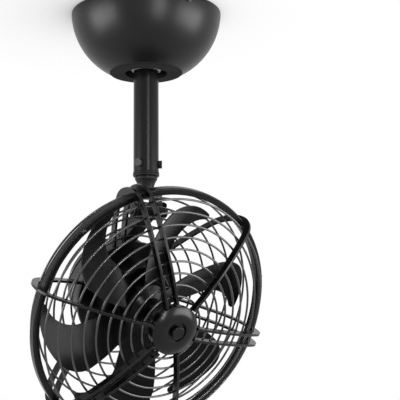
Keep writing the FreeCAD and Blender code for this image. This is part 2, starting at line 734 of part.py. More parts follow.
def front_hub_cap():
    """Domed cap over the strap ends, with a round recess in the middle."""
    base, shoulder, top = cap_base() + SEAT, cap_base() + CAP_RIM, cap_top()
    floor = top - CAP_RECESS
    mid_r = (CAP_R + CAP_RECESS_R) / 2
    stem = BOSS_STEM_R + SEAT
    edges = [arc(rz(CAP_R, shoulder), rz(mid_r, (shoulder + top) / 2 + CAP_BOW), rz(CAP_RECESS_R, top))]
    points = [(CAP_RECESS_R, top), (CAP_RECESS_R, floor), (stem, floor), (stem, base), (CAP_R, base),
              (CAP_R, shoulder)]
    edges += [line(rz(*a), rz(*b)) for a, b in zip(points, points[1:])]
    return spin_edges(edges)


def cap_boss():
    """Round finial nut in the recess of the cap, with its stem through the hub disc."""
    floor, top = cap_top() - CAP_RECESS + SEAT, cap_top() + BOSS_PROUD
    low = disc_top() - HUB_DISC_T
    return spin([(0, low), (BOSS_STEM_R, low), (BOSS_STEM_R, floor), (BOSS_R, floor),
                 (BOSS_R, top - BOSS_EDGE), (BOSS_R - BOSS_EDGE, top), (0, top)])


def rear_hub_ring():
    """Flat ring over the motor's front cover that carries the rear straps."""
    front = REAR_RING_FACE + REAR_RING_T
    plate = ring(REAR_RING_R, COVER_R + SEAT, REAR_RING_FACE, front)
    for angle in REAR_SCREW_ANGLES:
        at = polar(REAR_SCREW_AT_R, angle)
        plate = plate.cut(cyl(REAR_SCREW_R + SEAT, REAR_RING_FACE - CUT, front + CUT, Z_AXIS, at))
    return plate


def rear_hub_screws():
    """Three screws from the motor flange into the rear hub ring."""
    screws = []
    top = REAR_RING_FACE - SEAT - FLANGE_T - SEAT
    for angle in REAR_SCREW_ANGLES:
        at = polar(REAR_SCREW_AT_R, angle)
        shank = cyl(REAR_SCREW_R, top, REAR_RING_FACE + REAR_RING_T, Z_AXIS, at)
        head = cyl(REAR_SCREW_HEAD_R, top - REAR_SCREW_HEAD, top, Z_AXIS, at)
        screws.append(shank.fuse(head).removeSplitter())
    return Part.makeCompound(screws)


# Motor pieces, in the head frame

def motor_front_cover():
    """Front motor cover: rounded cup with a bearing boss and a rim held behind the rear hub ring."""
    edge, w, front = COVER_EDGE, COVER_WALL, MOTOR_FRONT
    boss = BEARING_R + BOSS_WALL
    rim_r, rim_back = MOTOR_IN_R - SEAT, COVER_FACE - COVER_FLANGE_T
    bow = edge * math.sqrt(0.5)
    edges = [line(rz(BEARING_R + SEAT, front), rz(COVER_R - edge, front)),
             arc(rz(COVER_R - edge, front), rz(COVER_R - edge + bow, front - edge + bow),
                 rz(COVER_R, front - edge))]
    points = [(COVER_R, front - edge), (COVER_R, COVER_FACE), (rim_r, COVER_FACE), (rim_r, rim_back),
              (COVER_R - w, rim_back), (COVER_R - w, front - edge), (COVER_R - edge, front - w),
              (boss, front - w), (boss, front - BEARING_T - w),
              (BEARING_R - BEARING_LIP, front - BEARING_T - w),
              (BEARING_R - BEARING_LIP, front - BEARING_T), (BEARING_R + SEAT, front - BEARING_T),
              (BEARING_R + SEAT, front)]
    edges += [line(rz(*a), rz(*b)) for a, b in zip(points, points[1:])]
    return spin_edges(edges)


def motor_rear_cover():
    """Rear motor housing: rounded barrel with a mounting flange, a bearing boss and a ring of vents."""
    edge, w, back, outer = MOTOR_EDGE, COVER_WALL, MOTOR_BACK, MOTOR_R
    boss = BEARING_R + BOSS_WALL
    seat = back + w + BEARING_T
    bow, inner = edge * math.sqrt(0.5), edge - w
    inner_bow = inner * math.sqrt(0.5)
    edges = [arc(rz(outer, back + edge), rz(outer - edge + bow, back + edge - bow), rz(outer - edge, back)),
             arc(rz(outer - edge, back + w), rz(outer - edge + inner_bow, back + edge - inner_bow),
                 rz(outer - w, back + edge))]
    chains = [[(outer - edge, back), (0, back), (0, back + w), (BEARING_R + SEAT, back + w),
               (BEARING_R + SEAT, seat), (boss, seat), (boss, back + w), (outer - edge, back + w)],
              [(outer - w, back + edge), (outer - w, COVER_FACE), (FLANGE_R, COVER_FACE),
               (FLANGE_R, COVER_FACE - FLANGE_T), (outer, COVER_FACE - FLANGE_T), (outer, back + edge)]]
    lines = [[line(rz(*a), rz(*b)) for a, b in zip(chain, chain[1:])] for chain in chains]
    cover = spin_edges([edges[0]] + lines[0] + [edges[1]] + lines[1])
    reach = VENT_LENGTH / 2
    vent = box(VENT_R - reach, VENT_R + reach, -VENT_HALF, VENT_HALF, back - CUT, back + w + CUT)
    cover = cover.cut([turned(vent, 360.0 / VENT_COUNT * i) for i in range(VENT_COUNT)])
    for angle in REAR_SCREW_ANGLES:
        at = polar(REAR_SCREW_AT_R, angle)
        cover = cover.cut(cyl(REAR_SCREW_R + SEAT, COVER_FACE - FLANGE_T - CUT, COVER_FACE + CUT, Z_AXIS, at))
    for z in ARM_SCREW_Z:
        cover = cover.cut(cyl(ARM_SCREW_R + SEAT, MOTOR_IN_R - CUT, MOTOR_R + CUT, Y_AXIS, V(0, 0, z)))
    return cover


def stator_core():
    """Lamination stack pressed into the rear housing."""
    return ring(MOTOR_IN_R - SEAT, CORE_R + AIR_GAP, STACK_BACK, STACK_FRONT)


def stator_windings():
    """End turns of the coils on both faces of the stack."""
    rings = []
    for low in (STACK_FRONT + SEAT, STACK_BACK - SEAT - WINDING_T):
        turns = ring(WINDING_OUT_R, WINDING_IN_R, low, low + WINDING_T)
        rings.append(turns.makeFillet(WINDING_EDGE, turns.Edges))
    return Part.makeCompound(rings)


def bearing(low):
    return ring(BEARING_R, SHAFT_R + RUN, low, low + BEARING_T)


def tilt_arm():
    """Short arm on top of the motor: saddle foot, tapered shank and the round knuckle of the hinge."""
    pivot = V(0, PIVOT_UP, -PIVOT_BACK)
    foot_top = MOTOR_R + SEAT + ARM_FOOT_T
    foot = box(-ARM_FOOT_X, ARM_FOOT_X, 0, foot_top, ARM_FOOT_BACK, ARM_FOOT_FRONT)
    foot = foot.makeFillet(ARM_FOOT_CORNER, edges_along(foot, Y_AXIS))
    middle = (ARM_FOOT_FRONT + ARM_FOOT_BACK) / 2
    lean = math.atan2(pivot.z - middle, pivot.y - foot_top)
    side = V(0, -math.sin(lean), math.cos(lean)) * EAR_R
    low = V(0, foot_top - ARM_FOOT_T / 2, 0)
    points = [pivot + side, pivot - side, low + V(0, 0, middle - ARM_SHANK / 2),
              low + V(0, 0, middle + ARM_SHANK / 2)]
    shank = Part.Face(Part.makePolygon(points + points[:1]))
    shank.translate(V(-TONGUE_HALF, 0, 0))
    knuckle = cyl(EAR_R, -TONGUE_HALF, TONGUE_HALF, X_AXIS, pivot)
    arm = foot.fuse([shank.extrude(V(2 * TONGUE_HALF, 0, 0)), knuckle])
    arm = arm.cut(cyl(MOTOR_R + SEAT, MOTOR_BACK - CUT, MOTOR_FRONT))
    arm = arm.cut(cyl(BOLT_R + RUN, -TONGUE_HALF - CUT, TONGUE_HALF + CUT, X_AXIS, pivot))
    for z in ARM_SCREW_Z:
        arm = arm.cut(cyl(ARM_SCREW_R + SEAT, MOTOR_R - CUT, foot_top + CUT, Y_AXIS, V(0, 0, z)))
    return arm.removeSplitter()


def arm_screws():
    """Two screws that hold the arm's foot down on the motor housing."""
    top = MOTOR_R + SEAT + ARM_FOOT_T + SEAT
    screws = []
    for z in ARM_SCREW_Z:
        at = V(0, 0, z)
        shank = cyl(ARM_SCREW_R, MOTOR_IN_R, top, Y_AXIS, at)
        head = cyl(ARM_SCREW_HEAD_R, top, top + ARM_SCREW_HEAD, Y_AXIS, at)
        screws.append(shank.fuse(head).removeSplitter())
    return Part.makeCompound(screws)


# Rotor pieces, in the head frame

def motor_shaft():
    return cyl(SHAFT_R, SHAFT_BACK, SHAFT_FRONT)


def rotor_core():
    return ring(CORE_R, SHAFT_R + SEAT, STACK_BACK, STACK_FRONT)


def blade_hub():
    """Turned hub on the shaft: a drum that carries the blades and a stepped, coned front."""
    bore = SHAFT_R + SEAT
    half = (BLADE_HUB_STEP + BLADE_HUB_FRONT) / 2
    neck = BLADE_HUB_NECK_R
    return spin([(bore, BLADE_HUB_BACK), (BLADE_HUB_R, BLADE_HUB_BACK), (BLADE_HUB_R, BLADE_HUB_STEP),
                 ((BLADE_HUB_R + neck) / 2, BLADE_HUB_STEP + BLADE_T), (neck, half), (neck, BLADE_HUB_FRONT),
                 (bore, BLADE_HUB_FRONT)])


def blade_section(share, low, high, pitch, cup, place):
    """Closed bowed section across the blade at one radius, hollow towards the front."""
    lean, radius = math.radians(pitch), share * BLADE_TIP_R

    def at(across, lift):
        rise = place + across * math.tan(lean) + lift * math.cos(lean)
        return V(radius, across - lift * math.sin(lean), rise)

    mid, t = (low + high) / 2, BLADE_T / 2
    edges = [arc(at(low, -t), at(mid, -cup - t), at(high, -t)), line(at(high, -t), at(high, t)),
             arc(at(high, t), at(mid, -cup + t), at(low, t)), line(at(low, t), at(low, -t))]
    return Part.Wire(edges)


def blade_plan():
    """Outline along the fan axis: narrow root, bowed trailing edge, round tip and hollow leading edge."""
    def flat(point):
        return V(point[0] * BLADE_TIP_R, point[1], 0)

    tip = polar(BLADE_TIP_R, BLADE_TIP_ANGLE)
    horn = [flat(point) for point in BLADE_HORN]
    root = [flat(point) for point in BLADE_ROOT]
    trail = [flat(point) for point in BLADE_TRAIL]
    shoulder = [flat(point) for point in BLADE_SHOULDER]
    lead = [flat(point) for point in BLADE_LEAD]
    edges = [line(root[0], root[1]), arc(root[1], trail[0], trail[1]),
             arc(trail[1], shoulder[0], shoulder[1]), arc(shoulder[1], tip, horn[0]),
             arc(horn[0], horn[1], horn[2]), arc(horn[2], lead[0], lead[1]), line(lead[1], root[0])]
    plan = Part.Face(Part.Wire(edges))
    plan.translate(V(0, 0, MOTOR_BACK))
    return plan.extrude(V(0, 0, FRONT_APEX - MOTOR_BACK))


def blade():
    """Cupped, forward-swept paddle: lofted bowed sections trimmed to the outline and to the hub."""
    body = Part.makeLoft([blade_section(*section) for section in BLADE_SECTIONS], True, False)
    return body.common(blade_plan()).cut(cyl(BLADE_HUB_R + SEAT, MOTOR_BACK, FRONT_APEX))


def lock_nut():
    low = BLADE_HUB_FRONT + SEAT
    bore = cyl(SHAFT_R + SEAT, low - CUT, low + LOCK_NUT_T + CUT)
    return hexagon(LOCK_NUT_FLATS, low, low + LOCK_NUT_T).cut(bore)


def ceiling_nodes():
    return {"canopy": canopy(), "hanger_bracket": hanger_bracket(), "canopy_screws": canopy_screws(),
            "receiver_module": receiver_module(), "terminal_block": terminal_block()}


def rod_nodes():
    return {"hanger_ball": hanger_ball(), "hanger_pin": hanger_pin(), "downrod": downrod(),
            "rod_collar": rod_collar(), "collar_screws": collar_screws()}


def swivel_nodes():
    return {"swivel_washer": swivel_washer(), "swivel_fork": swivel_fork(), "swivel_stud": swivel_stud(),
            "swivel_nut": swivel_nut(), "hinge_washers": hinge_washers(), "tilt_bolt": tilt_bolt(),
            "tilt_knob": tilt_knob()}


def head_nodes():
    nodes = {"tilt_arm": tilt_arm(), "arm_screws": arm_screws(), "motor_rear_cover": motor_rear_cover(),
             "stator_core": stator_core(), "stator_windings": stator_windings(),
             "motor_front_cover": motor_front_cover(), "front_bearing": bearing(MOTOR_FRONT - BEARING_T),
             "rear_bearing": bearing(MOTOR_BACK + COVER_WALL),
             "rear_hub_ring": rear_hub_ring(), "rear_hub_screws": rear_hub_screws(),
             "hoop_front_ring": hoop_ring(), "hoop_rear_ring": to_rear(hoop_ring()),
             "hoop_screws": hoop_screws(), "front_hub_disc": front_hub_disc(),
             "front_hub_cap": front_hub_cap(), "cap_boss": cap_boss(),
             "front_wires": Part.makeCompound(front_wires(WIRE_R)),
             "rear_wires": Part.makeCompound([to_rear(wire) for wire in rear_wires(WIRE_R)])}
    notch = WIRE_R + SEAT
    nodes.update(straps("front", FRONT_HALF, front_inner_end(), front_wires(notch), lambda shape: shape))
    nodes.update(straps("rear", REAR_HALF, rear_inner_end(), rear_wires(notch), to_rear))
    return nodes


def rotor_nodes():
    nodes = {"motor_shaft": motor_shaft(), "rotor_core": rotor_core(), "blade_hub": blade_hub(),
             "lock_nut": lock_nut()}
    paddle = blade()
    for number in range(BLADE_COUNT):
        nodes[f"blade_{number + 1}"] = turned(paddle, BLADE_PHASE + number * 360.0 / BLADE_COUNT)
    return nodes


def in_place(shape):
    """Move a head shape from the head frame into the part frame."""
    placed = shape.copy()
    placed.transformShape(HEAD.toMatrix(), True)
    return placed


def main():
    os.makedirs("parts", exist_ok=True)
    nodes = {**ceiling_nodes(), **rod_nodes(), **swivel_nodes()}
    nodes.update({name: in_place(shape) for name, shape in {**head_nodes(), **rotor_nodes()}.items()})
    for name, shape in nodes.items():
        print(name, len(shape.Solids), shape.isValid(), round(shape.Volume / 1000, 2))
        shape.exportStep(f"parts/{name}.step")
    print(len(nodes), "nodes; hoop centre", HOOP_CENTRE)


main()
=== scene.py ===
"""Finishes, fasteners, stage and camera for a ceiling-hung cage fan that tilts and pans."""

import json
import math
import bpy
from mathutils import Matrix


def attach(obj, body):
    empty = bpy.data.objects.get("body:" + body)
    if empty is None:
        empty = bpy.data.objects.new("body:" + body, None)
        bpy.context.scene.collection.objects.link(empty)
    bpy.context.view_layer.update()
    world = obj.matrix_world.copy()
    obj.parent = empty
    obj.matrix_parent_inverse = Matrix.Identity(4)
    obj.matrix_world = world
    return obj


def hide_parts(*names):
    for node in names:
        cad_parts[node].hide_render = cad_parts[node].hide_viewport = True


bl_info = {
    "name": "Ceiling cage fan",
    "version": (1, 0, 0),
    "blender": (4, 5, 0),
    "location": "View3D > Sidebar > Cage fan",
    "description": "Dresses the frame of a ceiling-hung cage fan and sets its studio",
    "category": "Object",
}

import bmesh
import bpy
import numpy
from mathutils import Vector

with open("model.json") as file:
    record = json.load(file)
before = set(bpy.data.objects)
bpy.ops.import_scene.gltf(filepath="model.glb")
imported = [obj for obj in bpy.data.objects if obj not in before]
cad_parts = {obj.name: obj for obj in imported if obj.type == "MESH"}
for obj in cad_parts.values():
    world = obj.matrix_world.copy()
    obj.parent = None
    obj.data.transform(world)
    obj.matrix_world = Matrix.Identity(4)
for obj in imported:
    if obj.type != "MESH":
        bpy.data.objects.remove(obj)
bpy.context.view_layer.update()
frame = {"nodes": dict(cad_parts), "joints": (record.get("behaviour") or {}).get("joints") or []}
SPIN = next(joint for joint in frame["joints"] if joint["name"] == "rotor_spin")
FAN_AXIS = Vector(SPIN["axis"]).normalized()
FAN_POINT = Vector(SPIN["pos_m"])
# The head's own frame has the fan axis forward
HEAD_SIDE = Vector((1, 0, 0))
HEAD_TOP = FAN_AXIS.cross(HEAD_SIDE)
HEAD_TURN = (math.acos(FAN_AXIS.z), 0, 0)
# Radius of a screw head's crown over the head's own radius
CROWN_SHARE = 1.7
# Drop of a screw shank's middle over its length, just under half so that it reaches into the head
SHANK_DROP = -0.49
# Corners farther out than this share of the widest belong to a screw's head
HEAD_SHARE = 0.9
# Edges flatter than this angle are smooth, in radians; the second takes in every edge
SMOOTH_SCREW = 0.5
SMOOTH_ALL = 3.2
# Height of the canopy's matt underside and of the blend above it in metres, and its roughness
UNDERSIDE = 0.0005
UNDERSIDE_BLEND = 0.0008
UNDERSIDE_ROUGH = 0.97
# Ceiling and ground stand off the surfaces they would share a height with, in metres
STAGE_LIFT = 0.0006
# The point all lamps face
LAMP_AIM = Vector((0, 0, -0.25))
# Each lamp's power, turn from the camera's side in degrees, and distance, height, width and length in metres
LAMPS = {
    "left_softbox": ("side_power", -70, 1.25, -0.28, 0.95, 0.6),
    "right_softbox": ("side_power", 72, 1.25, -0.3, 0.95, 0.6),
    "key_lamp": ("key_power", 20, 1.5, -0.2, 0.05, 1.0),
    "top_softbox": ("top_power", -10, 0.5, 1.2, 0.4, 0.25),
}


# Values a user would change


class FanFinishes(bpy.types.PropertyGroup):
    """Colours and gloss of the fan's finishes."""

    coat_colour: bpy.props.FloatVectorProperty(
        name="Powder coat", description="Black of the coated steel", subtype="COLOR", size=3,
        min=0, max=1, default=(0.0014, 0.0014, 0.0014))
    coat_lift: bpy.props.FloatVectorProperty(
        name="Powder coat, worn", description="Black where the coat is thin or handled", subtype="COLOR",
        size=3, min=0, max=1, default=(0.0034, 0.0034, 0.0033))
    coat_rough: bpy.props.FloatProperty(
        name="Powder coat roughness", description="Gloss of the coated steel", subtype="FACTOR",
        min=0, max=1, default=0.32)
    coat_level: bpy.props.FloatProperty(
        name="Powder coat reflection", description="Strength of the coat's reflection", subtype="FACTOR",
        min=0, max=1, default=0.165)
    lacquer_rough: bpy.props.FloatProperty(
        name="Lacquer roughness", description="Roughness of the clear coat on the wires", subtype="FACTOR",
        min=0, max=1, default=0.12)
    lacquer_ior: bpy.props.FloatProperty(
        name="Lacquer index", description="Refractive index of the clear coat on the wires", min=1,
        default=1.8)
    cast_colour: bpy.props.FloatVectorProperty(
        name="Cast black", description="Black of the painted castings", subtype="COLOR", size=3,
        min=0, max=1, default=(0.0045, 0.0045, 0.0044))
    # The housing's lighter grey is partly its own finish and partly painted light, standing in for the light
    # it catches.
    housing_grey_and_light: bpy.props.FloatVectorProperty(
        name="Motor housing", description="Dark grey of the motor's rear housing", subtype="COLOR", size=3,
        min=0, max=1, default=(0.038, 0.038, 0.038))
    blade_colour: bpy.props.FloatVectorProperty(
        name="Blade black", description="Black of the moulded blades", subtype="COLOR", size=3,
        min=0, max=1, default=(0.0014, 0.0014, 0.0014))
    blade_rough: bpy.props.FloatProperty(
        name="Blade roughness", description="Gloss of the moulded blades", subtype="FACTOR",
        min=0, max=1, default=0.2)
    blade_level: bpy.props.FloatProperty(
        name="Blade reflection", description="Strength of the reflection on the blades", subtype="FACTOR",
        min=0, max=1, default=0.11)
    screw_colour: bpy.props.FloatVectorProperty(
        name="Screw black", description="Black oxide on the screws", subtype="COLOR", size=3,
        min=0, max=1, default=(0.02, 0.0195, 0.019))
    steel_colour: bpy.props.FloatVectorProperty(
        name="Zinc plate", description="Zinc plate on the hidden steel", subtype="COLOR", size=3,
        min=0, max=1, default=(0.56, 0.57, 0.58))
    bronze_colour: bpy.props.FloatVectorProperty(
        name="Bronze", description="Sintered bearing bronze", subtype="COLOR", size=3,
        min=0, max=1, default=(0.43, 0.25, 0.11))
    copper_colour: bpy.props.FloatVectorProperty(
        name="Copper", description="Enamelled copper wire", subtype="COLOR", size=3,
        min=0, max=1, default=(0.56, 0.19, 0.07))
    lamination_colour: bpy.props.FloatVectorProperty(
        name="Laminations", description="Stacked motor sheet", subtype="COLOR", size=3,
        min=0, max=1, default=(0.24, 0.24, 0.25))
    nylon_colour: bpy.props.FloatVectorProperty(
        name="Nylon", description="Natural nylon of ball and washers", subtype="COLOR", size=3,
        min=0, max=1, default=(0.55, 0.53, 0.48))
    module_colour: bpy.props.FloatVectorProperty(
        name="Receiver case", description="Plastic of the receiver and terminals", subtype="COLOR", size=3,
        min=0, max=1, default=(0.62, 0.62, 0.6))


class FanFasteners(bpy.types.PropertyGroup):
    """Sizes of the small repeated pieces."""

    recess_share: bpy.props.FloatProperty(
        name="Recess length", description="Length of the cross recess over the head's width",
        subtype="FACTOR", min=0.2, max=0.9, default=0.62)
    recess_width: bpy.props.FloatProperty(
        name="Recess width", description="Width of each slot over the head's width", subtype="FACTOR",
        min=0.05, max=0.4, default=0.17)
    recess_depth: bpy.props.FloatProperty(
        name="Recess depth", description="Depth of the recess over the head's height", subtype="FACTOR",
        min=0.1, max=0.9, default=0.6)
    bead_length: bpy.props.FloatProperty(
        name="Weld length", description="Half length of a weld bead across its strap", unit="LENGTH",
        min=0.0005, max=0.005, default=0.0021)
    bead_radius: bpy.props.FloatProperty(
        name="Weld radius", description="Half height of a weld bead", unit="LENGTH",
        min=0.0005, max=0.004, default=0.0012)
    bead_lift: bpy.props.FloatProperty(
        name="Weld lift", description="How far a weld bead sits off its wire towards the strap",
        unit="LENGTH", min=0, max=0.003, default=0.0007)


class FanStage(bpy.types.PropertyGroup):
    """Camera, lamps and the white surfaces round the fan."""

    camera_place: bpy.props.FloatVectorProperty(
        name="Camera", description="Where the camera stands", subtype="XYZ", unit="LENGTH", size=3,
        default=(-0.6626, -1.0125, -0.405))
    camera_up: bpy.props.FloatProperty(
        name="Look up", description="Angle of the camera above level", subtype="ANGLE",
        default=math.radians(9.54))
    camera_turn: bpy.props.FloatProperty(
        name="Look round", description="Angle of the camera round the upright", subtype="ANGLE",
        default=math.radians(-33.2))
    camera_lens: bpy.props.FloatProperty(
        name="Lens", description="Focal length in millimetres on a 36 mm sensor", default=105.3)
    camera_shift: bpy.props.FloatProperty(
        name="Shift", description="Sideways shift of the frame", default=0.1348)
    room_radius: bpy.props.FloatProperty(
        name="Room", description="Radius of ceiling, ground and backdrop", unit="LENGTH", default=12.0)
    room_top: bpy.props.FloatProperty(
        name="Backdrop top", description="Height of the backdrop's upper edge", unit="LENGTH", default=8.0)
    wall_distance: bpy.props.FloatProperty(
        name="Wall distance", description="How far the wall stands behind the fan", unit="LENGTH",
        default=2.6)
    wall_width: bpy.props.FloatProperty(
        name="Wall width", description="Width of the wall", unit="LENGTH", default=3.0)
    wall_top: bpy.props.FloatProperty(
        name="Wall top", description="Height of the wall's upper edge", unit="LENGTH", default=-0.2)
    floor_height: bpy.props.FloatProperty(
        name="Floor", description="Height of the floor", unit="LENGTH", default=-1.1)
    floor_size: bpy.props.FloatProperty(
        name="Floor size", description="Half width of the floor", unit="LENGTH", default=1.4)
    floor_colour: bpy.props.FloatVectorProperty(
        name="Floor colour", description="Colour of the matt floor that throws light up at the fan",
        subtype="COLOR", size=3, min=0, max=1, default=(0.15, 0.15, 0.15))
    shade_colour: bpy.props.FloatVectorProperty(
        name="Contact shade", description="Colour of ceiling and ground in the fan's deepest shade",
        subtype="COLOR", size=3, min=0, max=1, default=(0.08, 0.08, 0.085))
    shade_reach: bpy.props.FloatProperty(
        name="Shade reach", description="How far the shade on the ceiling spreads", unit="LENGTH",
        default=0.19)
    ground_reach: bpy.props.FloatProperty(
        name="Ground shade reach", description="How far the shade on the ground spreads", unit="LENGTH",
        default=1.2)
    shade_lean: bpy.props.FloatProperty(
        name="Shade lean", description="How far the ceiling's shade leans to the left", default=0.28)
    room_light: bpy.props.FloatProperty(
        name="Room light", description="Strength of the faint even light", min=0, default=0.05)
    side_power: bpy.props.FloatProperty(
        name="Side lamps", description="Power of each side softbox in watts", unit="POWER", default=16.2)
    key_power: bpy.props.FloatProperty(
        name="Key lamp", description="Power of the front lamp in watts", unit="POWER", default=12.0)
    top_power: bpy.props.FloatProperty(
        name="Top lamp", description="Power of the overhead softbox in watts", unit="POWER", default=5.2)


# Node helpers


def add(tree, kind, **inputs):
    """Adds a node and sets its inputs by name, with spaces written as underscores."""
    made = tree.nodes.new(kind)
    for name, value in inputs.items():
        made.inputs[name.replace("_", " ")].default_value = value
    return made


def new_material(name):
    """A material with its shader and the piece's own coordinates."""
    material = bpy.data.materials.new(name)
    material.use_nodes = True
    tree = material.node_tree
    tree.nodes.clear()
    out = tree.nodes.new("ShaderNodeOutputMaterial")
    shader = tree.nodes.new("ShaderNodeBsdfPrincipled")
    tree.links.new(shader.outputs["BSDF"], out.inputs["Surface"])
    place = tree.nodes.new("ShaderNodeTexCoord").outputs["Object"]
    return material, tree, shader, place


def grain(tree, place, scale, detail=3.0, roughness=0.55):
    """Even noise over the surface, scale in cells per metre."""
    made = add(tree, "ShaderNodeTexNoise", Scale=scale, Detail=detail, Roughness=roughness)
    tree.links.new(place, made.inputs["Vector"])
    return made.outputs["Fac"]


def two_tone(tree, shader, factor, low, high, start=0.35, end=0.7):
    """Mixes the base colour between two tones by a factor."""
    ramp = tree.nodes.new("ShaderNodeValToRGB")
    ramp.color_ramp.elements[0].position = start
    ramp.color_ramp.elements[1].position = end
    ramp.color_ramp.elements[0].color = (*low, 1)
    ramp.color_ramp.elements[1].color = (*high, 1)
    tree.links.new(factor, ramp.inputs["Fac"])
    tree.links.new(ramp.outputs["Color"], shader.inputs["Base Color"])


def vary_gloss(tree, shader, factor, low, high):
    """Spreads the roughness between two values by a factor."""
    spread = add(tree, "ShaderNodeMapRange", To_Min=low, To_Max=high)
    tree.links.new(factor, spread.inputs["Value"])
    tree.links.new(spread.outputs["Result"], shader.inputs["Roughness"])


def raise_grain(tree, shader, factor, depth, strength=1.0, edge=0.0):
    """Bumps the surface by a factor, over edges rounded by the edge radius."""
    bump = add(tree, "ShaderNodeBump", Strength=strength, Distance=depth)
    tree.links.new(factor, bump.inputs["Height"])
    if edge:
        rounded = add(tree, "ShaderNodeBevel", Radius=edge)
        rounded.samples = 4
        tree.links.new(rounded.outputs["Normal"], bump.inputs["Normal"])
    tree.links.new(bump.outputs["Normal"], shader.inputs["Normal"])


def paint_edge_highlight(tree, shader, radius, tone):
    """Lightens the base colour along edges as a painted highlight, for the light that rounded edges catch.
    """
    rounded = add(tree, "ShaderNodeBevel", Radius=radius)
    rounded.samples = 4
    face = tree.nodes.new("ShaderNodeNewGeometry")
    meet = tree.nodes.new("ShaderNodeVectorMath")
    meet.operation = "DOT_PRODUCT"
    tree.links.new(rounded.outputs["Normal"], meet.inputs[0])
    tree.links.new(face.outputs["Normal"], meet.inputs[1])
    share = add(tree, "ShaderNodeMapRange", From_Min=1.0, From_Max=0.8)
    tree.links.new(meet.outputs["Value"], share.inputs["Value"])
    mix = tree.nodes.new("ShaderNodeMix")
    mix.data_type = "RGBA"
    # The mix node's names repeat for each kind of value, so its colour sockets go by number
    plain, paler, mixed = mix.inputs[6], mix.inputs[7], mix.outputs[2]
    # The paler tone along the edges is a painted highlight.
    paler.default_value = (tone, tone, tone, 1)
    tree.links.new(share.outputs["Result"], mix.inputs["Factor"])
    tree.links.new(shader.inputs["Base Color"].links[0].from_socket, plain)
    tree.links.new(mixed, shader.inputs["Base Color"])


def lighter(colour, share):
    """A tone lighter by a share."""
    return tuple(min(1.0, part * (1 + share)) for part in colour)


# Finishes


def powder_coat(name, edge, gloss=0.0, level=1.0, edge_highlight=0.0, lacquer=0.0):
    """Satin black powder coat with a fine orange peel.

    The gloss takes from the coat's roughness, and the level multiplies its reflection.
    """
    set_up = bpy.context.scene.fan_finishes
    material, tree, shader, place = new_material(name)
    two_tone(tree, shader, grain(tree, place, 26, 5), tuple(set_up.coat_colour), tuple(set_up.coat_lift))
    rough = set_up.coat_rough - gloss
    vary_gloss(tree, shader, grain(tree, place, 60, 4), rough - 0.04, rough + 0.04)
    raise_grain(tree, shader, grain(tree, place, 700, 2), 0.00003, 0.6, edge)
    shader.inputs["Specular IOR Level"].default_value = min(1.0, set_up.coat_level * level)
    # The edge tone below lightens the edges as a painted highlight.
    if edge_highlight:
        paint_edge_highlight(tree, shader, edge, edge_highlight)
    if lacquer:
        shader.inputs["Coat Weight"].default_value = lacquer
        shader.inputs["Coat Roughness"].default_value = set_up.lacquer_rough
        shader.inputs["Coat IOR"].default_value = set_up.lacquer_ior
    return material


def matt_under(material, name):
    """Leaves the coat matt on the flat underside of a CAD node, where the spray barely reaches."""
    height = min(corner.co.z for corner in frame["nodes"][name].data.vertices) + UNDERSIDE
    tree = material.node_tree
    rough = tree.nodes["Principled BSDF"].inputs["Roughness"]
    split = tree.nodes.new("ShaderNodeSeparateXYZ")
    tree.links.new(tree.nodes["Texture Coordinate"].outputs["Object"], split.inputs["Vector"])
    blend = add(tree, "ShaderNodeMapRange", From_Min=height + UNDERSIDE_BLEND, From_Max=height,
                To_Max=UNDERSIDE_ROUGH)
    tree.links.new(split.outputs["Z"], blend.inputs["Value"])
    tree.links.new(rough.links[0].from_socket, blend.inputs["To Min"])
    tree.links.new(blend.outputs["Result"], rough)
    return material


def cast_paint(name, colour):
    """Dark paint over a cast surface, coarser than the coat."""
    set_up = bpy.context.scene.fan_finishes
    material, tree, shader, place = new_material(name)
    black = tuple(colour)
    two_tone(tree, shader, grain(tree, place, 45, 6), black, lighter(black, 0.9))
    vary_gloss(tree, shader, grain(tree, place, 120, 4), 0.38, 0.5)
    raise_grain(tree, shader, grain(tree, place, 420, 4, 0.65), 0.00006, 0.7, 0.0006)
    shader.inputs["Specular IOR Level"].default_value = set_up.coat_level
    return material


def blade_plastic(name):
    """Moulded black plastic with a faint flow along the blade."""
    set_up = bpy.context.scene.fan_finishes
    material, tree, shader, place = new_material(name)
    black = tuple(set_up.blade_colour)
    two_tone(tree, shader, grain(tree, place, 18, 4), black, lighter(black, 0.7))
    vary_gloss(tree, shader, grain(tree, place, 35, 5), set_up.blade_rough - 0.05, set_up.blade_rough + 0.06)
    raise_grain(tree, shader, grain(tree, place, 900, 2), 0.00002, 0.5, 0.0005)
    shader.inputs["Specular IOR Level"].default_value = set_up.blade_level
    return material


def black_oxide(name):
    """Oiled black oxide on screws, slightly bare on its high spots."""
    black = tuple(bpy.context.scene.fan_finishes.screw_colour)
    material, tree, shader, place = new_material(name)
    two_tone(tree, shader, grain(tree, place, 500, 4), black, lighter(black, 1.6), 0.45, 0.75)
    vary_gloss(tree, shader, grain(tree, place, 800, 3), 0.28, 0.42)
    raise_grain(tree, shader, grain(tree, place, 1500, 2), 0.00002, 0.5)
    shader.inputs["Metallic"].default_value = 0.75
    return material


def plated(name, colour, rough, streak):
    """Bright metal with streaks drawn out along the upright."""
    material, tree, shader, place = new_material(name)
    drawn = tree.nodes.new("ShaderNodeMapping")
    drawn.inputs["Scale"].default_value = (1, 1, streak)
    tree.links.new(place, drawn.inputs["Vector"])
    tone = tuple(colour)
    two_tone(tree, shader, grain(tree, drawn.outputs["Vector"], 160, 5), lighter(tone, -0.25), tone)
    vary_gloss(tree, shader, grain(tree, drawn.outputs["Vector"], 260, 4), rough - 0.06, rough + 0.08)
    raise_grain(tree, shader, grain(tree, place, 900, 3), 0.00002, 0.5)
    shader.inputs["Metallic"].default_value = 1.0
    return material


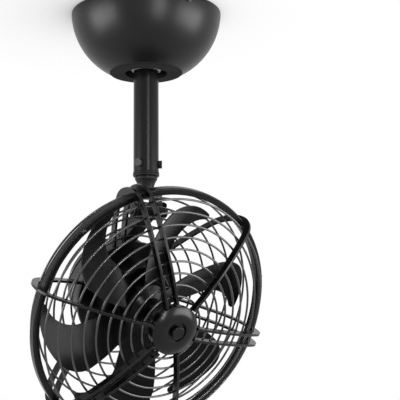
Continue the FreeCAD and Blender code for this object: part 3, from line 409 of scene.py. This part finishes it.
def stacked(name, colour, pitch, metallic, rough):
    """Layers stacked along the fan's axis, as in motor sheet or wound wire."""
    material, tree, shader, place = new_material(name)
    along = tree.nodes.new("ShaderNodeMapping")
    along.vector_type = "TEXTURE"
    along.inputs["Rotation"].default_value = HEAD_TURN
    tree.links.new(place, along.inputs["Vector"])
    layers = add(tree, "ShaderNodeTexWave", Scale=1 / pitch / math.tau, Distortion=0.4, Detail=1.0)
    layers.bands_direction = "Z"
    tree.links.new(along.outputs["Vector"], layers.inputs["Vector"])
    tone = tuple(colour)
    two_tone(tree, shader, layers.outputs["Fac"], lighter(tone, -0.55), tone, 0.1, 0.7)
    vary_gloss(tree, shader, grain(tree, place, 300, 3), rough - 0.06, rough + 0.06)
    raise_grain(tree, shader, layers.outputs["Fac"], pitch * 0.15, 0.7)
    shader.inputs["Metallic"].default_value = metallic
    return material


def plain_plastic(name, colour, rough):
    """Unpainted moulded plastic with a fine texture."""
    material, tree, shader, place = new_material(name)
    tone = tuple(colour)
    two_tone(tree, shader, grain(tree, place, 55, 5), lighter(tone, -0.14), tone)
    vary_gloss(tree, shader, grain(tree, place, 90, 4), rough - 0.05, rough + 0.07)
    raise_grain(tree, shader, grain(tree, place, 1100, 3), 0.00003, 0.6, 0.0004)
    return material


def finish(material, *names):
    """Gives a finish to CAD nodes."""
    for name in names:
        mesh = frame["nodes"][name].data
        if not mesh.materials:
            mesh.materials.append(material)
        for slot in range(len(mesh.materials)):
            mesh.materials[slot] = material


# Repeated pieces


def loose_parts(name):
    """The separate solids of a CAD node, each as a list of its corners."""
    copy = bmesh.new()
    copy.from_mesh(frame["nodes"][name].data)
    bmesh.ops.remove_doubles(copy, verts=copy.verts, dist=1e-6)
    parts, seen = [], set()
    for start in copy.verts:
        if start in seen:
            continue
        seen.add(start)
        part, edge = [], [start]
        while edge:
            corner = edge.pop()
            part.append(corner.co.copy())
            for link in corner.link_edges:
                other = link.other_vert(corner)
                if other not in seen:
                    seen.add(other)
                    edge.append(other)
        parts.append(part)
    copy.free()
    return parts


def points_object(name, places, axes):
    """An object of bare points, each with the axis of what stands on it."""
    mesh = bpy.data.meshes.new(name)
    mesh.from_pydata([tuple(place) for place in places], [], [])
    attribute = mesh.attributes.new("axis", "FLOAT_VECTOR", "POINT")
    attribute.data.foreach_set("vector", [part for axis in axes for part in axis])
    made = bpy.data.objects.new(name, mesh)
    bpy.context.scene.collection.objects.link(made)
    return made


def new_tree(name, sizes):
    """A geometry tree with points and a finish coming in, and named sizes."""
    tree = bpy.data.node_groups.new(name, "GeometryNodeTree")
    tree.interface.new_socket("Points", in_out="INPUT", socket_type="NodeSocketGeometry")
    for size in sizes:
        tree.interface.new_socket(size, in_out="INPUT", socket_type="NodeSocketFloat")
    tree.interface.new_socket("Finish", in_out="INPUT", socket_type="NodeSocketMaterial")
    tree.interface.new_socket("Pieces", in_out="OUTPUT", socket_type="NodeSocketGeometry")
    return tree, tree.nodes.new("NodeGroupInput"), tree.nodes.new("NodeGroupOutput")


def join_xyz(tree, x, y, z):
    """A vector from three sockets or numbers."""
    made = tree.nodes.new("ShaderNodeCombineXYZ")
    for name, value in zip("XYZ", (x, y, z)):
        if isinstance(value, (int, float)):
            made.inputs[name].default_value = value
        else:
            tree.links.new(value, made.inputs[name])
    return made.outputs["Vector"]


def maths(tree, operation, first, second):
    """The result of an operation on two sockets or numbers."""
    made = tree.nodes.new("ShaderNodeMath")
    made.operation = operation
    for slot, value in enumerate((first, second)):
        if isinstance(value, (int, float)):
            made.inputs[slot].default_value = value
        else:
            tree.links.new(value, made.inputs[slot])
    return made.outputs["Value"]


def shifted(tree, mesh, x, y, z):
    """A mesh moved by three sockets or numbers."""
    made = tree.nodes.new("GeometryNodeTransform")
    tree.links.new(mesh, made.inputs["Geometry"])
    tree.links.new(join_xyz(tree, x, y, z), made.inputs["Translation"])
    return made.outputs["Geometry"]


def combined(tree, operation, first, others):
    """A boolean of meshes."""
    made = tree.nodes.new("GeometryNodeMeshBoolean")
    made.operation = operation
    made.solver = "EXACT"
    if operation == "DIFFERENCE":
        tree.links.new(first, made.inputs["Mesh 1"])
    else:
        others = [*others, first]
    for other in others:
        tree.links.new(other, made.inputs["Mesh 2"])
    return made.outputs["Mesh"]


def stand_on_points(tree, entry, exit_node, mesh, smooth_below):
    """Puts a mesh on each point along its axis, makes it real and gives it the finish."""
    axis = tree.nodes.new("GeometryNodeInputNamedAttribute")
    axis.data_type = "FLOAT_VECTOR"
    axis.inputs["Name"].default_value = "axis"
    turn = tree.nodes.new("FunctionNodeAlignRotationToVector")
    turn.axis = "Z"
    tree.links.new(axis.outputs["Attribute"], turn.inputs["Vector"])
    stand = tree.nodes.new("GeometryNodeInstanceOnPoints")
    tree.links.new(entry.outputs["Points"], stand.inputs["Points"])
    tree.links.new(mesh, stand.inputs["Instance"])
    tree.links.new(turn.outputs["Rotation"], stand.inputs["Rotation"])
    real = tree.nodes.new("GeometryNodeRealizeInstances")
    tree.links.new(stand.outputs["Instances"], real.inputs["Geometry"])
    smooth = tree.nodes.new("GeometryNodeSetShadeSmooth")
    tree.links.new(real.outputs["Geometry"], smooth.inputs["Geometry"])
    angle = tree.nodes.new("GeometryNodeInputMeshEdgeAngle")
    soft = tree.nodes.new("FunctionNodeCompare")
    soft.operation = "LESS_THAN"
    soft.inputs["B"].default_value = smooth_below
    tree.links.new(angle.outputs["Unsigned Angle"], soft.inputs["A"])
    crease = tree.nodes.new("GeometryNodeSetShadeSmooth")
    crease.domain = "EDGE"
    tree.links.new(smooth.outputs["Geometry"], crease.inputs["Geometry"])
    tree.links.new(soft.outputs["Result"], crease.inputs["Shade Smooth"])
    dress = tree.nodes.new("GeometryNodeSetMaterial")
    tree.links.new(crease.outputs["Geometry"], dress.inputs["Geometry"])
    tree.links.new(entry.outputs["Finish"], dress.inputs["Material"])
    tree.links.new(dress.outputs["Geometry"], exit_node.inputs["Pieces"])


def cross_screw_tree():
    """Pan-head screws with a cross recess, one on each point."""
    tree, entry, exit_node = new_tree(
        "cross_screws",
        ("Head Radius", "Head Height", "Recess Length", "Recess Width", "Recess Depth", "Shank Radius",
         "Shank Length"))
    size = entry.outputs
    disc = add(tree, "GeometryNodeMeshCylinder", Vertices=40)
    tree.links.new(size["Head Radius"], disc.inputs["Radius"])
    tree.links.new(size["Head Height"], disc.inputs["Depth"])
    half = maths(tree, "MULTIPLY", size["Head Height"], 0.5)
    disc = shifted(tree, disc.outputs["Mesh"], 0, 0, half)
    ball = add(tree, "GeometryNodeMeshUVSphere", Segments=48, Rings=40)
    crown = maths(tree, "MULTIPLY", size["Head Radius"], CROWN_SHARE)
    tree.links.new(crown, ball.inputs["Radius"])
    sunk = maths(tree, "SUBTRACT", size["Head Height"], crown)
    ball = shifted(tree, ball.outputs["Mesh"], 0, 0, sunk)
    head = combined(tree, "INTERSECT", disc, [ball])
    shank = add(tree, "GeometryNodeMeshCylinder", Vertices=24)
    tree.links.new(size["Shank Radius"], shank.inputs["Radius"])
    tree.links.new(size["Shank Length"], shank.inputs["Depth"])
    drop = maths(tree, "MULTIPLY", size["Shank Length"], SHANK_DROP)
    shank = shifted(tree, shank.outputs["Mesh"], 0, 0, drop)
    body = combined(tree, "UNION", head, [shank])
    deep = maths(tree, "MULTIPLY", size["Recess Depth"], 2.0)
    slots = []
    for long_x in (True, False):
        slot = tree.nodes.new("GeometryNodeMeshCube")
        sides = (size["Recess Length"], size["Recess Width"])
        x, y = sides if long_x else sides[::-1]
        tree.links.new(join_xyz(tree, x, y, deep), slot.inputs["Size"])
        slots.append(shifted(tree, slot.outputs["Mesh"], 0, 0, size["Head Height"]))
    made = combined(tree, "DIFFERENCE", body, slots)
    stand_on_points(tree, entry, exit_node, made, SMOOTH_SCREW)
    return tree


def weld_bead_tree():
    """Small weld beads, drawn out along each point's axis."""
    tree, entry, exit_node = new_tree("weld_beads", ("Bead Radius", "Bead Length"))
    bead = add(tree, "GeometryNodeMeshUVSphere", Segments=8, Rings=6, Radius=1.0)
    shape = tree.nodes.new("GeometryNodeTransform")
    tree.links.new(bead.outputs["Mesh"], shape.inputs["Geometry"])
    size = entry.outputs
    tree.links.new(join_xyz(tree, size["Bead Radius"], size["Bead Radius"], size["Bead Length"]),
                   shape.inputs["Scale"])
    stand_on_points(tree, entry, exit_node, shape.outputs["Geometry"], SMOOTH_ALL)
    return tree


def grow(made, tree, sizes, material):
    """Runs a tree on an object and keeps the result as its plain mesh."""
    grower = made.modifiers.new("grow", "NODES")
    grower.node_group = tree
    for item in tree.interface.items_tree:
        if item.in_out == "INPUT" and item.name in sizes:
            grower[item.identifier] = sizes[item.name]
        if item.in_out == "INPUT" and item.name == "Finish":
            grower[item.identifier] = material
    graph = bpy.context.evaluated_depsgraph_get()
    mesh = bpy.data.meshes.new_from_object(made.evaluated_get(graph), depsgraph=graph)
    made.modifiers.remove(grower)
    made.data = mesh
    if not mesh.polygons:
        raise RuntimeError(f"{made.name} grew no faces")
    return made


def screw_facts(part):
    """Seat, axis and sizes of one CAD screw, read from its corners."""
    corners = numpy.array([tuple(corner) for corner in part])
    middle = corners.mean(0)
    axis = numpy.linalg.eigh(numpy.cov((corners - middle).T))[1][:, -1]
    along = (corners - middle) @ axis
    out = numpy.linalg.norm(corners - middle - numpy.outer(along, axis), axis=1)
    wide = out > HEAD_SHARE * out.max()
    if along[wide].mean() < along[~wide].mean():
        axis, along = -axis, -along
    low, high = along[wide].min(), along[wide].max()
    sizes = {"Head Radius": out.max(), "Head Height": high - low, "Shank Radius": out[~wide].max(),
             "Shank Length": low - along.min()}
    return middle + axis * low, axis, {name: float(size) for name, size in sizes.items()}


def to_head(point):
    """Sideways, upward and forward distance of a point in the head's own frame."""
    off = point - FAN_POINT
    return off.dot(HEAD_SIDE), off.dot(HEAD_TOP), off.dot(FAN_AXIS)


def from_head(x, y, z):
    """Direction in the part's frame of a direction in the head's own frame."""
    return HEAD_SIDE * x + HEAD_TOP * y + FAN_AXIS * z


def wire_facts(name):
    """Radius and height of each wire ring of a node, from the inside out."""
    rings = []
    for part in loose_parts(name):
        corners = numpy.array([to_head(corner) for corner in part])
        out = numpy.hypot(corners[:, 0], corners[:, 1])
        rings.append(((out.min() + out.max()) / 2, (corners[:, 2].min() + corners[:, 2].max()) / 2))
    return sorted(rings)


def plate_facts(part):
    """Direction of a strap plate away from the fan axis, and its offset to the side."""
    corners = numpy.array([to_head(corner) for corner in part])[:, :2]
    middle = corners.mean(0)
    run = numpy.linalg.eigh(numpy.cov((corners - middle).T))[1][:, -1]
    if run @ middle < 0:
        run = -run
    return run, float(middle @ numpy.array((-run[1], run[0])))


def weld_places(end, lift):
    """Places and axes of the welds of one guard half, lifted off the wire towards the strap."""
    rings = wire_facts(f"{end}_wires")
    radii, heights = zip(*rings)
    slopes = numpy.gradient(heights, radii)
    facing = 1 if end == "front" else -1
    places, axes = [], []
    names = [f"{end}_strap{kind}_{number}" for kind in ("", "_pair") for number in (1, 2, 3)]
    for part in [part for name in names for part in loose_parts(name)]:
        run, offset = plate_facts(part)
        across = from_head(-run[1], run[0], 0)
        for radius, height, slope in zip(radii, heights, slopes):
            out = math.sqrt(radius ** 2 - offset ** 2)
            rise = Vector((-slope, 1)).normalized() * lift * facing
            at = from_head(*(run * (out + rise.x)), height + rise.y)
            places.append(FAN_POINT + at + across * offset)
            axes.append(across)
    return places, axes


# Stage


def seen_rays(tree):
    """One for the camera, for reflections and through glass, and nought for the light on the fan."""
    path = tree.nodes.new("ShaderNodeLightPath").outputs
    seen = maths(tree, "MAXIMUM", path["Is Camera Ray"], path["Is Glossy Ray"])
    return maths(tree, "MAXIMUM", seen, path["Is Transmission Ray"])


def show_where(tree, out, white, share):
    """Shows a white surface by a share, and leaves it clear elsewhere."""
    clear = tree.nodes.new("ShaderNodeBsdfTransparent")
    mix = tree.nodes.new("ShaderNodeMixShader")
    tree.links.new(share, mix.inputs["Fac"])
    tree.links.new(clear.outputs["BSDF"], mix.inputs[1])
    tree.links.new(white.outputs["Emission"], mix.inputs[2])
    tree.links.new(mix.outputs["Shader"], out.inputs["Surface"])


def white_material(name):
    """A material that shines an even white, not yet joined to its output."""
    material = bpy.data.materials.new(name)
    material.use_nodes = True
    tree = material.node_tree
    tree.nodes.clear()
    out = tree.nodes.new("ShaderNodeOutputMaterial")
    white = add(tree, "ShaderNodeEmission", Color=(1, 1, 1, 1), Strength=1.0)
    return material, tree, out, white


def shaded_white(name, stage, reach, lean):
    """White that keeps the fan's soft shade, sends no light to the fan and is clear from behind."""
    material, tree, out, white = white_material(name)
    shade = add(tree, "ShaderNodeAmbientOcclusion", Distance=reach)
    shade.samples = 12
    if lean:
        tilt = join_xyz(tree, lean * math.cos(stage.camera_turn), lean * math.sin(stage.camera_turn), -1)
        tree.links.new(tilt, shade.inputs["Normal"])
    ramp = tree.nodes.new("ShaderNodeValToRGB")
    ramp.color_ramp.elements[0].color = (*stage.shade_colour, 1)
    ramp.color_ramp.elements[1].color = (1, 1, 1, 1)
    tree.links.new(shade.outputs["AO"], ramp.inputs["Fac"])
    tree.links.new(ramp.outputs["Color"], white.inputs["Color"])
    behind = tree.nodes.new("ShaderNodeNewGeometry").outputs["Backfacing"]
    in_front = maths(tree, "SUBTRACT", 1.0, behind)
    show_where(tree, out, white, maths(tree, "MULTIPLY", seen_rays(tree), in_front))
    material.cycles.emission_sampling = "NONE"
    return material


def plain_white(name, lights):
    """Even white, which also lights the fan or is only seen."""
    material, tree, out, white = white_material(name)
    if lights:
        tree.links.new(white.outputs["Emission"], out.inputs["Surface"])
    else:
        show_where(tree, out, white, seen_rays(tree))
        material.cycles.emission_sampling = "NONE"
    return material


def floor_matt(name, stage):
    """Matt grey with a faint unevenness, for the floor."""
    material, tree, shader, place = new_material(name)
    two_tone(tree, shader, grain(tree, place, 4, 3), lighter(tuple(stage.floor_colour), -0.03),
             tuple(stage.floor_colour))
    shader.inputs["Roughness"].default_value = 0.9
    return material


def stage_object(name, mesh, material):
    """An object of the stage."""
    mesh.materials.append(material)
    made = bpy.data.objects.new(name, mesh)
    bpy.context.scene.collection.objects.link(made)
    return made


def flat_surface(name, corners, material):
    """A flat stage surface."""
    mesh = bpy.data.meshes.new(name)
    mesh.from_pydata(corners, [], [list(range(len(corners)))])
    return stage_object(name, mesh, material)


def round_ring(radius, height, count=96):
    """Points of a level circle, counted clockwise from above."""
    turns = [math.tau * step / count for step in range(count)]
    return [(radius * math.sin(turn), radius * math.cos(turn), height) for turn in turns]


def without_shade(made):
    """Keeps a stage surface from shading the fan or the rest of the stage."""
    made.visible_shadow = False


def set_backdrop(stage, low):
    """The round white backdrop from the ground up."""
    rings = round_ring(stage.room_radius, low) + round_ring(stage.room_radius, stage.room_top)
    count = len(rings) // 2
    faces = [(step, (step + 1) % count, count + (step + 1) % count, count + step) for step in range(count)]
    mesh = bpy.data.meshes.new("backdrop")
    mesh.from_pydata(rings, [], faces)
    without_shade(stage_object("backdrop", mesh, plain_white("backdrop_white", lights=False)))


def set_wall(stage, low):
    """The white wall behind the fan, which lights it from there."""
    away = Vector((-math.sin(stage.camera_turn), math.cos(stage.camera_turn), 0)) * stage.wall_distance
    along = Vector((math.cos(stage.camera_turn), math.sin(stage.camera_turn), 0)) * stage.wall_width / 2
    foot, head = Vector((0, 0, low)), Vector((0, 0, stage.wall_top))
    corners = [away - along + foot, away + along + foot, away + along + head, away - along + head]
    flat_surface("wall", [tuple(corner) for corner in corners], plain_white("wall_white", lights=True))


def set_floor(stage, low):
    """The matt floor just under the ground, which the camera does not see."""
    half = stage.floor_size
    corners = [(-half, -half, low), (half, -half, low), (half, half, low), (-half, half, low)]
    flat_surface("floor", corners, floor_matt("floor_matt", stage)).visible_camera = False


def set_surfaces(stage):
    """The white ceiling, ground and backdrop, and the wall and floor that light the fan."""
    low = stage.floor_height
    ground = low + STAGE_LIFT
    over = shaded_white("ceiling_white", stage, stage.shade_reach, stage.shade_lean)
    without_shade(flat_surface("ceiling", round_ring(stage.room_radius, STAGE_LIFT), over))
    under = shaded_white("ground_white", stage, stage.ground_reach, 0)
    without_shade(flat_surface("ground", round_ring(stage.room_radius, ground)[::-1], under))
    set_backdrop(stage, ground)
    set_wall(stage, low)
    set_floor(stage, low)


def set_room(stage):
    """A faint even light from all round."""
    world = bpy.data.worlds.new("studio")
    bpy.context.scene.world = world
    world.use_nodes = True
    room = world.node_tree.nodes["Background"]
    room.inputs["Color"].default_value = (1, 1, 1, 1)
    room.inputs["Strength"].default_value = stage.room_light


def softbox(name, power, turn, distance, height, width, length):
    """An area lamp aimed at the fan, its turn counted from the camera's own side."""
    lamp = bpy.data.lights.new(name, "AREA")
    lamp.shape = "RECTANGLE"
    lamp.size, lamp.size_y = width, length
    lamp.energy = power
    made = bpy.data.objects.new(name, lamp)
    bpy.context.scene.collection.objects.link(made)
    round_by = bpy.context.scene.fan_stage.camera_turn + math.radians(turn)
    made.location = (distance * math.sin(round_by), -distance * math.cos(round_by), height)
    made.rotation_euler = (LAMP_AIM - made.location).to_track_quat("-Z", "Y").to_euler()


def set_lamps(stage):
    """A softbox at each side, a narrow lamp near the camera and a softbox overhead."""
    for name, (power, *place) in LAMPS.items():
        softbox(name, getattr(stage, power), *place)


def set_camera(stage):
    """The camera at the viewing angle, with its frame shifted sideways."""
    view = bpy.data.cameras.new("view")
    view.sensor_width = 36
    view.lens = stage.camera_lens
    view.shift_x = stage.camera_shift
    made = bpy.data.objects.new("view", view)
    bpy.context.scene.collection.objects.link(made)
    made.location = stage.camera_place
    made.rotation_euler = (math.radians(90) + stage.camera_up, 0, stage.camera_turn)
    bpy.context.scene.camera = made


# Operators


class FAN_OT_canopy(bpy.types.Operator):
    """Finishes the canopy and what it hides"""

    bl_idname = "fan.canopy"
    bl_label = "Canopy and hanger"

    def execute(self, context):
        tone = context.scene.fan_finishes
        coat = powder_coat("canopy_coat", edge=0.0006, gloss=-0.04, level=1.5)
        finish(matt_under(coat, "canopy"), "canopy")
        finish(plated("zinc_plate", tone.steel_colour, rough=0.34, streak=0.15), "hanger_bracket",
               "hanger_pin", "swivel_nut", "motor_shaft", "swivel_stud")
        finish(plain_plastic("receiver_case", tone.module_colour, rough=0.45), "receiver_module",
               "terminal_block")
        return {"FINISHED"}


class FAN_OT_rod(bpy.types.Operator):
    """Finishes the downrod, its ball and its collar"""

    bl_idname = "fan.rod"
    bl_label = "Downrod"

    def execute(self, context):
        tone = context.scene.fan_finishes
        finish(powder_coat("rod_coat", edge=0.0005, gloss=0.07, level=1.15), "downrod")
        finish(plain_plastic("ball_nylon", tone.nylon_colour, rough=0.4), "hanger_ball")
        finish(cast_paint("collar_paint", tone.cast_colour), "rod_collar")
        finish(black_oxide("set_screw_oxide"), "collar_screws")
        return {"FINISHED"}


class FAN_OT_swivel(bpy.types.Operator):
    """Finishes the pan and tilt joint"""

    bl_idname = "fan.swivel"
    bl_label = "Swivel and tilt lock"

    def execute(self, context):
        tone = context.scene.fan_finishes
        finish(cast_paint("swivel_paint", tone.cast_colour), "swivel_fork", "tilt_arm")
        finish(black_oxide("bolt_oxide"), "tilt_bolt")
        finish(blade_plastic("washer_plastic"), "swivel_washer", "hinge_washers")
        finish(blade_plastic("knob_plastic"), "tilt_knob")
        return {"FINISHED"}


class FAN_OT_motor(bpy.types.Operator):
    """Finishes the motor's housing and its inside"""

    bl_idname = "fan.motor"
    bl_label = "Motor"

    def execute(self, context):
        tone = context.scene.fan_finishes
        # The rear housing's lighter grey is partly painted light.
        finish(cast_paint("housing_paint", tone.housing_grey_and_light), "motor_rear_cover")
        finish(powder_coat("motor_coat", edge=0.0008), "motor_front_cover", "rear_hub_ring")
        finish(stacked("motor_sheet", tone.lamination_colour, pitch=0.0005, metallic=0.9, rough=0.42),
               "stator_core", "rotor_core")
        finish(stacked("coil_wire", tone.copper_colour, pitch=0.0009, metallic=0.85, rough=0.32),
               "stator_windings")
        finish(plated("bearing_bronze", tone.bronze_colour, rough=0.36, streak=1.0), "front_bearing",
               "rear_bearing")
        return {"FINISHED"}


class FAN_OT_guard(bpy.types.Operator):
    """Finishes the hoop, straps, wires and hub cap of the guard"""

    bl_idname = "fan.guard"
    bl_label = "Guard"

    def execute(self, context):
        wires = powder_coat("wire_coat", edge=0, gloss=0.1, level=4.0, lacquer=0.2)
        finish(wires, "front_wires", "rear_wires")
        # The hoop and straps get a painted highlight along their edges.
        coat = powder_coat("strap_coat", edge=0.0007, gloss=0.1, level=1.1, edge_highlight=0.08)
        finish(coat, "hoop_front_ring", "hoop_rear_ring")
        for end in ("front", "rear"):
            for number in (1, 2, 3):
                finish(coat, f"{end}_strap_{number}", f"{end}_strap_pair_{number}")
        finish(powder_coat("cap_coat", edge=0.0006, gloss=0.1, level=1.3), "front_hub_disc", "front_hub_cap",
               "cap_boss")
        return {"FINISHED"}


class FAN_OT_blades(bpy.types.Operator):
    """Finishes the six blades and their hub"""

    bl_idname = "fan.blades"
    bl_label = "Blades"

    def execute(self, context):
        plastic = blade_plastic("blade_plastic")
        finish(plastic, "blade_hub", *[f"blade_{number}" for number in range(1, 7)])
        finish(black_oxide("nut_oxide"), "lock_nut")
        return {"FINISHED"}


class FAN_OT_screws(bpy.types.Operator):
    """Makes the pan-head screws of the canopy, arm, rear hub and hoop"""

    bl_idname = "fan.screws"
    bl_label = "Screws"

    def execute(self, context):
        share = context.scene.fan_fasteners
        oxide = black_oxide("screw_oxide")
        tree = cross_screw_tree()
        for name, body in (("canopy_screws", "ceiling_mount"), ("arm_screws", "head"),
                           ("rear_hub_screws", "head"), ("hoop_screws", "head")):
            facts = [screw_facts(part) for part in loose_parts(name)]
            sizes = facts[0][2]
            wide = 2 * sizes["Head Radius"]
            sizes["Recess Length"] = wide * share.recess_share
            sizes["Recess Width"] = wide * share.recess_width
            sizes["Recess Depth"] = sizes["Head Height"] * share.recess_depth
            made = points_object(name.replace("screws", "cross_screws"), [fact[0] for fact in facts],
                                 [fact[1] for fact in facts])
            grow(made, tree, sizes, oxide)
            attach(made, body)
            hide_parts(name)
        return {"FINISHED"}


class FAN_OT_welds(bpy.types.Operator):
    """Makes the weld beads where the guard's wires cross its straps"""

    bl_idname = "fan.welds"
    bl_label = "Weld beads"

    def execute(self, context):
        size = context.scene.fan_fasteners
        places, axes = [], []
        for end in ("front", "rear"):
            more_places, more_axes = weld_places(end, size.bead_lift)
            places += more_places
            axes += more_axes
        made = points_object("weld_beads", places, axes)
        grow(made, weld_bead_tree(), {"Bead Radius": size.bead_radius, "Bead Length": size.bead_length},
             bpy.data.materials["strap_coat"])
        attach(made, "head")
        return {"FINISHED"}


class FAN_OT_stage(bpy.types.Operator):
    """Sets the white surfaces, lamps, room light and camera"""

    bl_idname = "fan.stage"
    bl_label = "Stage"

    def execute(self, context):
        stage = context.scene.fan_stage
        set_surfaces(stage)
        set_room(stage)
        set_lamps(stage)
        set_camera(stage)
        context.scene.view_settings.view_transform = "Standard"
        return {"FINISHED"}


# Panel and start


STEPS = (FAN_OT_canopy, FAN_OT_rod, FAN_OT_swivel, FAN_OT_motor, FAN_OT_guard, FAN_OT_blades, FAN_OT_screws,
         FAN_OT_welds, FAN_OT_stage)
GROUPS = {"fan_finishes": FanFinishes, "fan_fasteners": FanFasteners, "fan_stage": FanStage}


class FAN_PT_panel(bpy.types.Panel):
    """Lists the fan's steps and sizes"""

    bl_idname = "FAN_PT_panel"
    bl_label = "Cage fan"
    bl_space_type = "VIEW_3D"
    bl_region_type = "UI"
    bl_category = "Cage fan"

    def draw(self, context):
        for step in STEPS:
            self.layout.operator(step.bl_idname)
        for group, values in GROUPS.items():
            box = self.layout.box()
            for value in values.__annotations__:
                box.prop(getattr(context.scene, group), value)


def register():
    """Registers the groups, steps and panel."""
    for group, values in GROUPS.items():
        bpy.utils.register_class(values)
        setattr(bpy.types.Scene, group, bpy.props.PointerProperty(type=values))
    for kind in (*STEPS, FAN_PT_panel):
        bpy.utils.register_class(kind)


def unregister():
    """Takes the groups, steps and panel away."""
    for kind in (FAN_PT_panel, *reversed(STEPS)):
        bpy.utils.unregister_class(kind)
    for group, values in GROUPS.items():
        delattr(bpy.types.Scene, group)
        bpy.utils.unregister_class(values)


def main():
    """Runs every step in order."""
    register()
    bpy.ops.fan.canopy()
    bpy.ops.fan.rod()
    bpy.ops.fan.swivel()
    bpy.ops.fan.motor()
    bpy.ops.fan.guard()
    bpy.ops.fan.blades()
    bpy.ops.fan.screws()
    bpy.ops.fan.welds()
    bpy.ops.fan.stage()


if __name__ == "__main__":
    main()
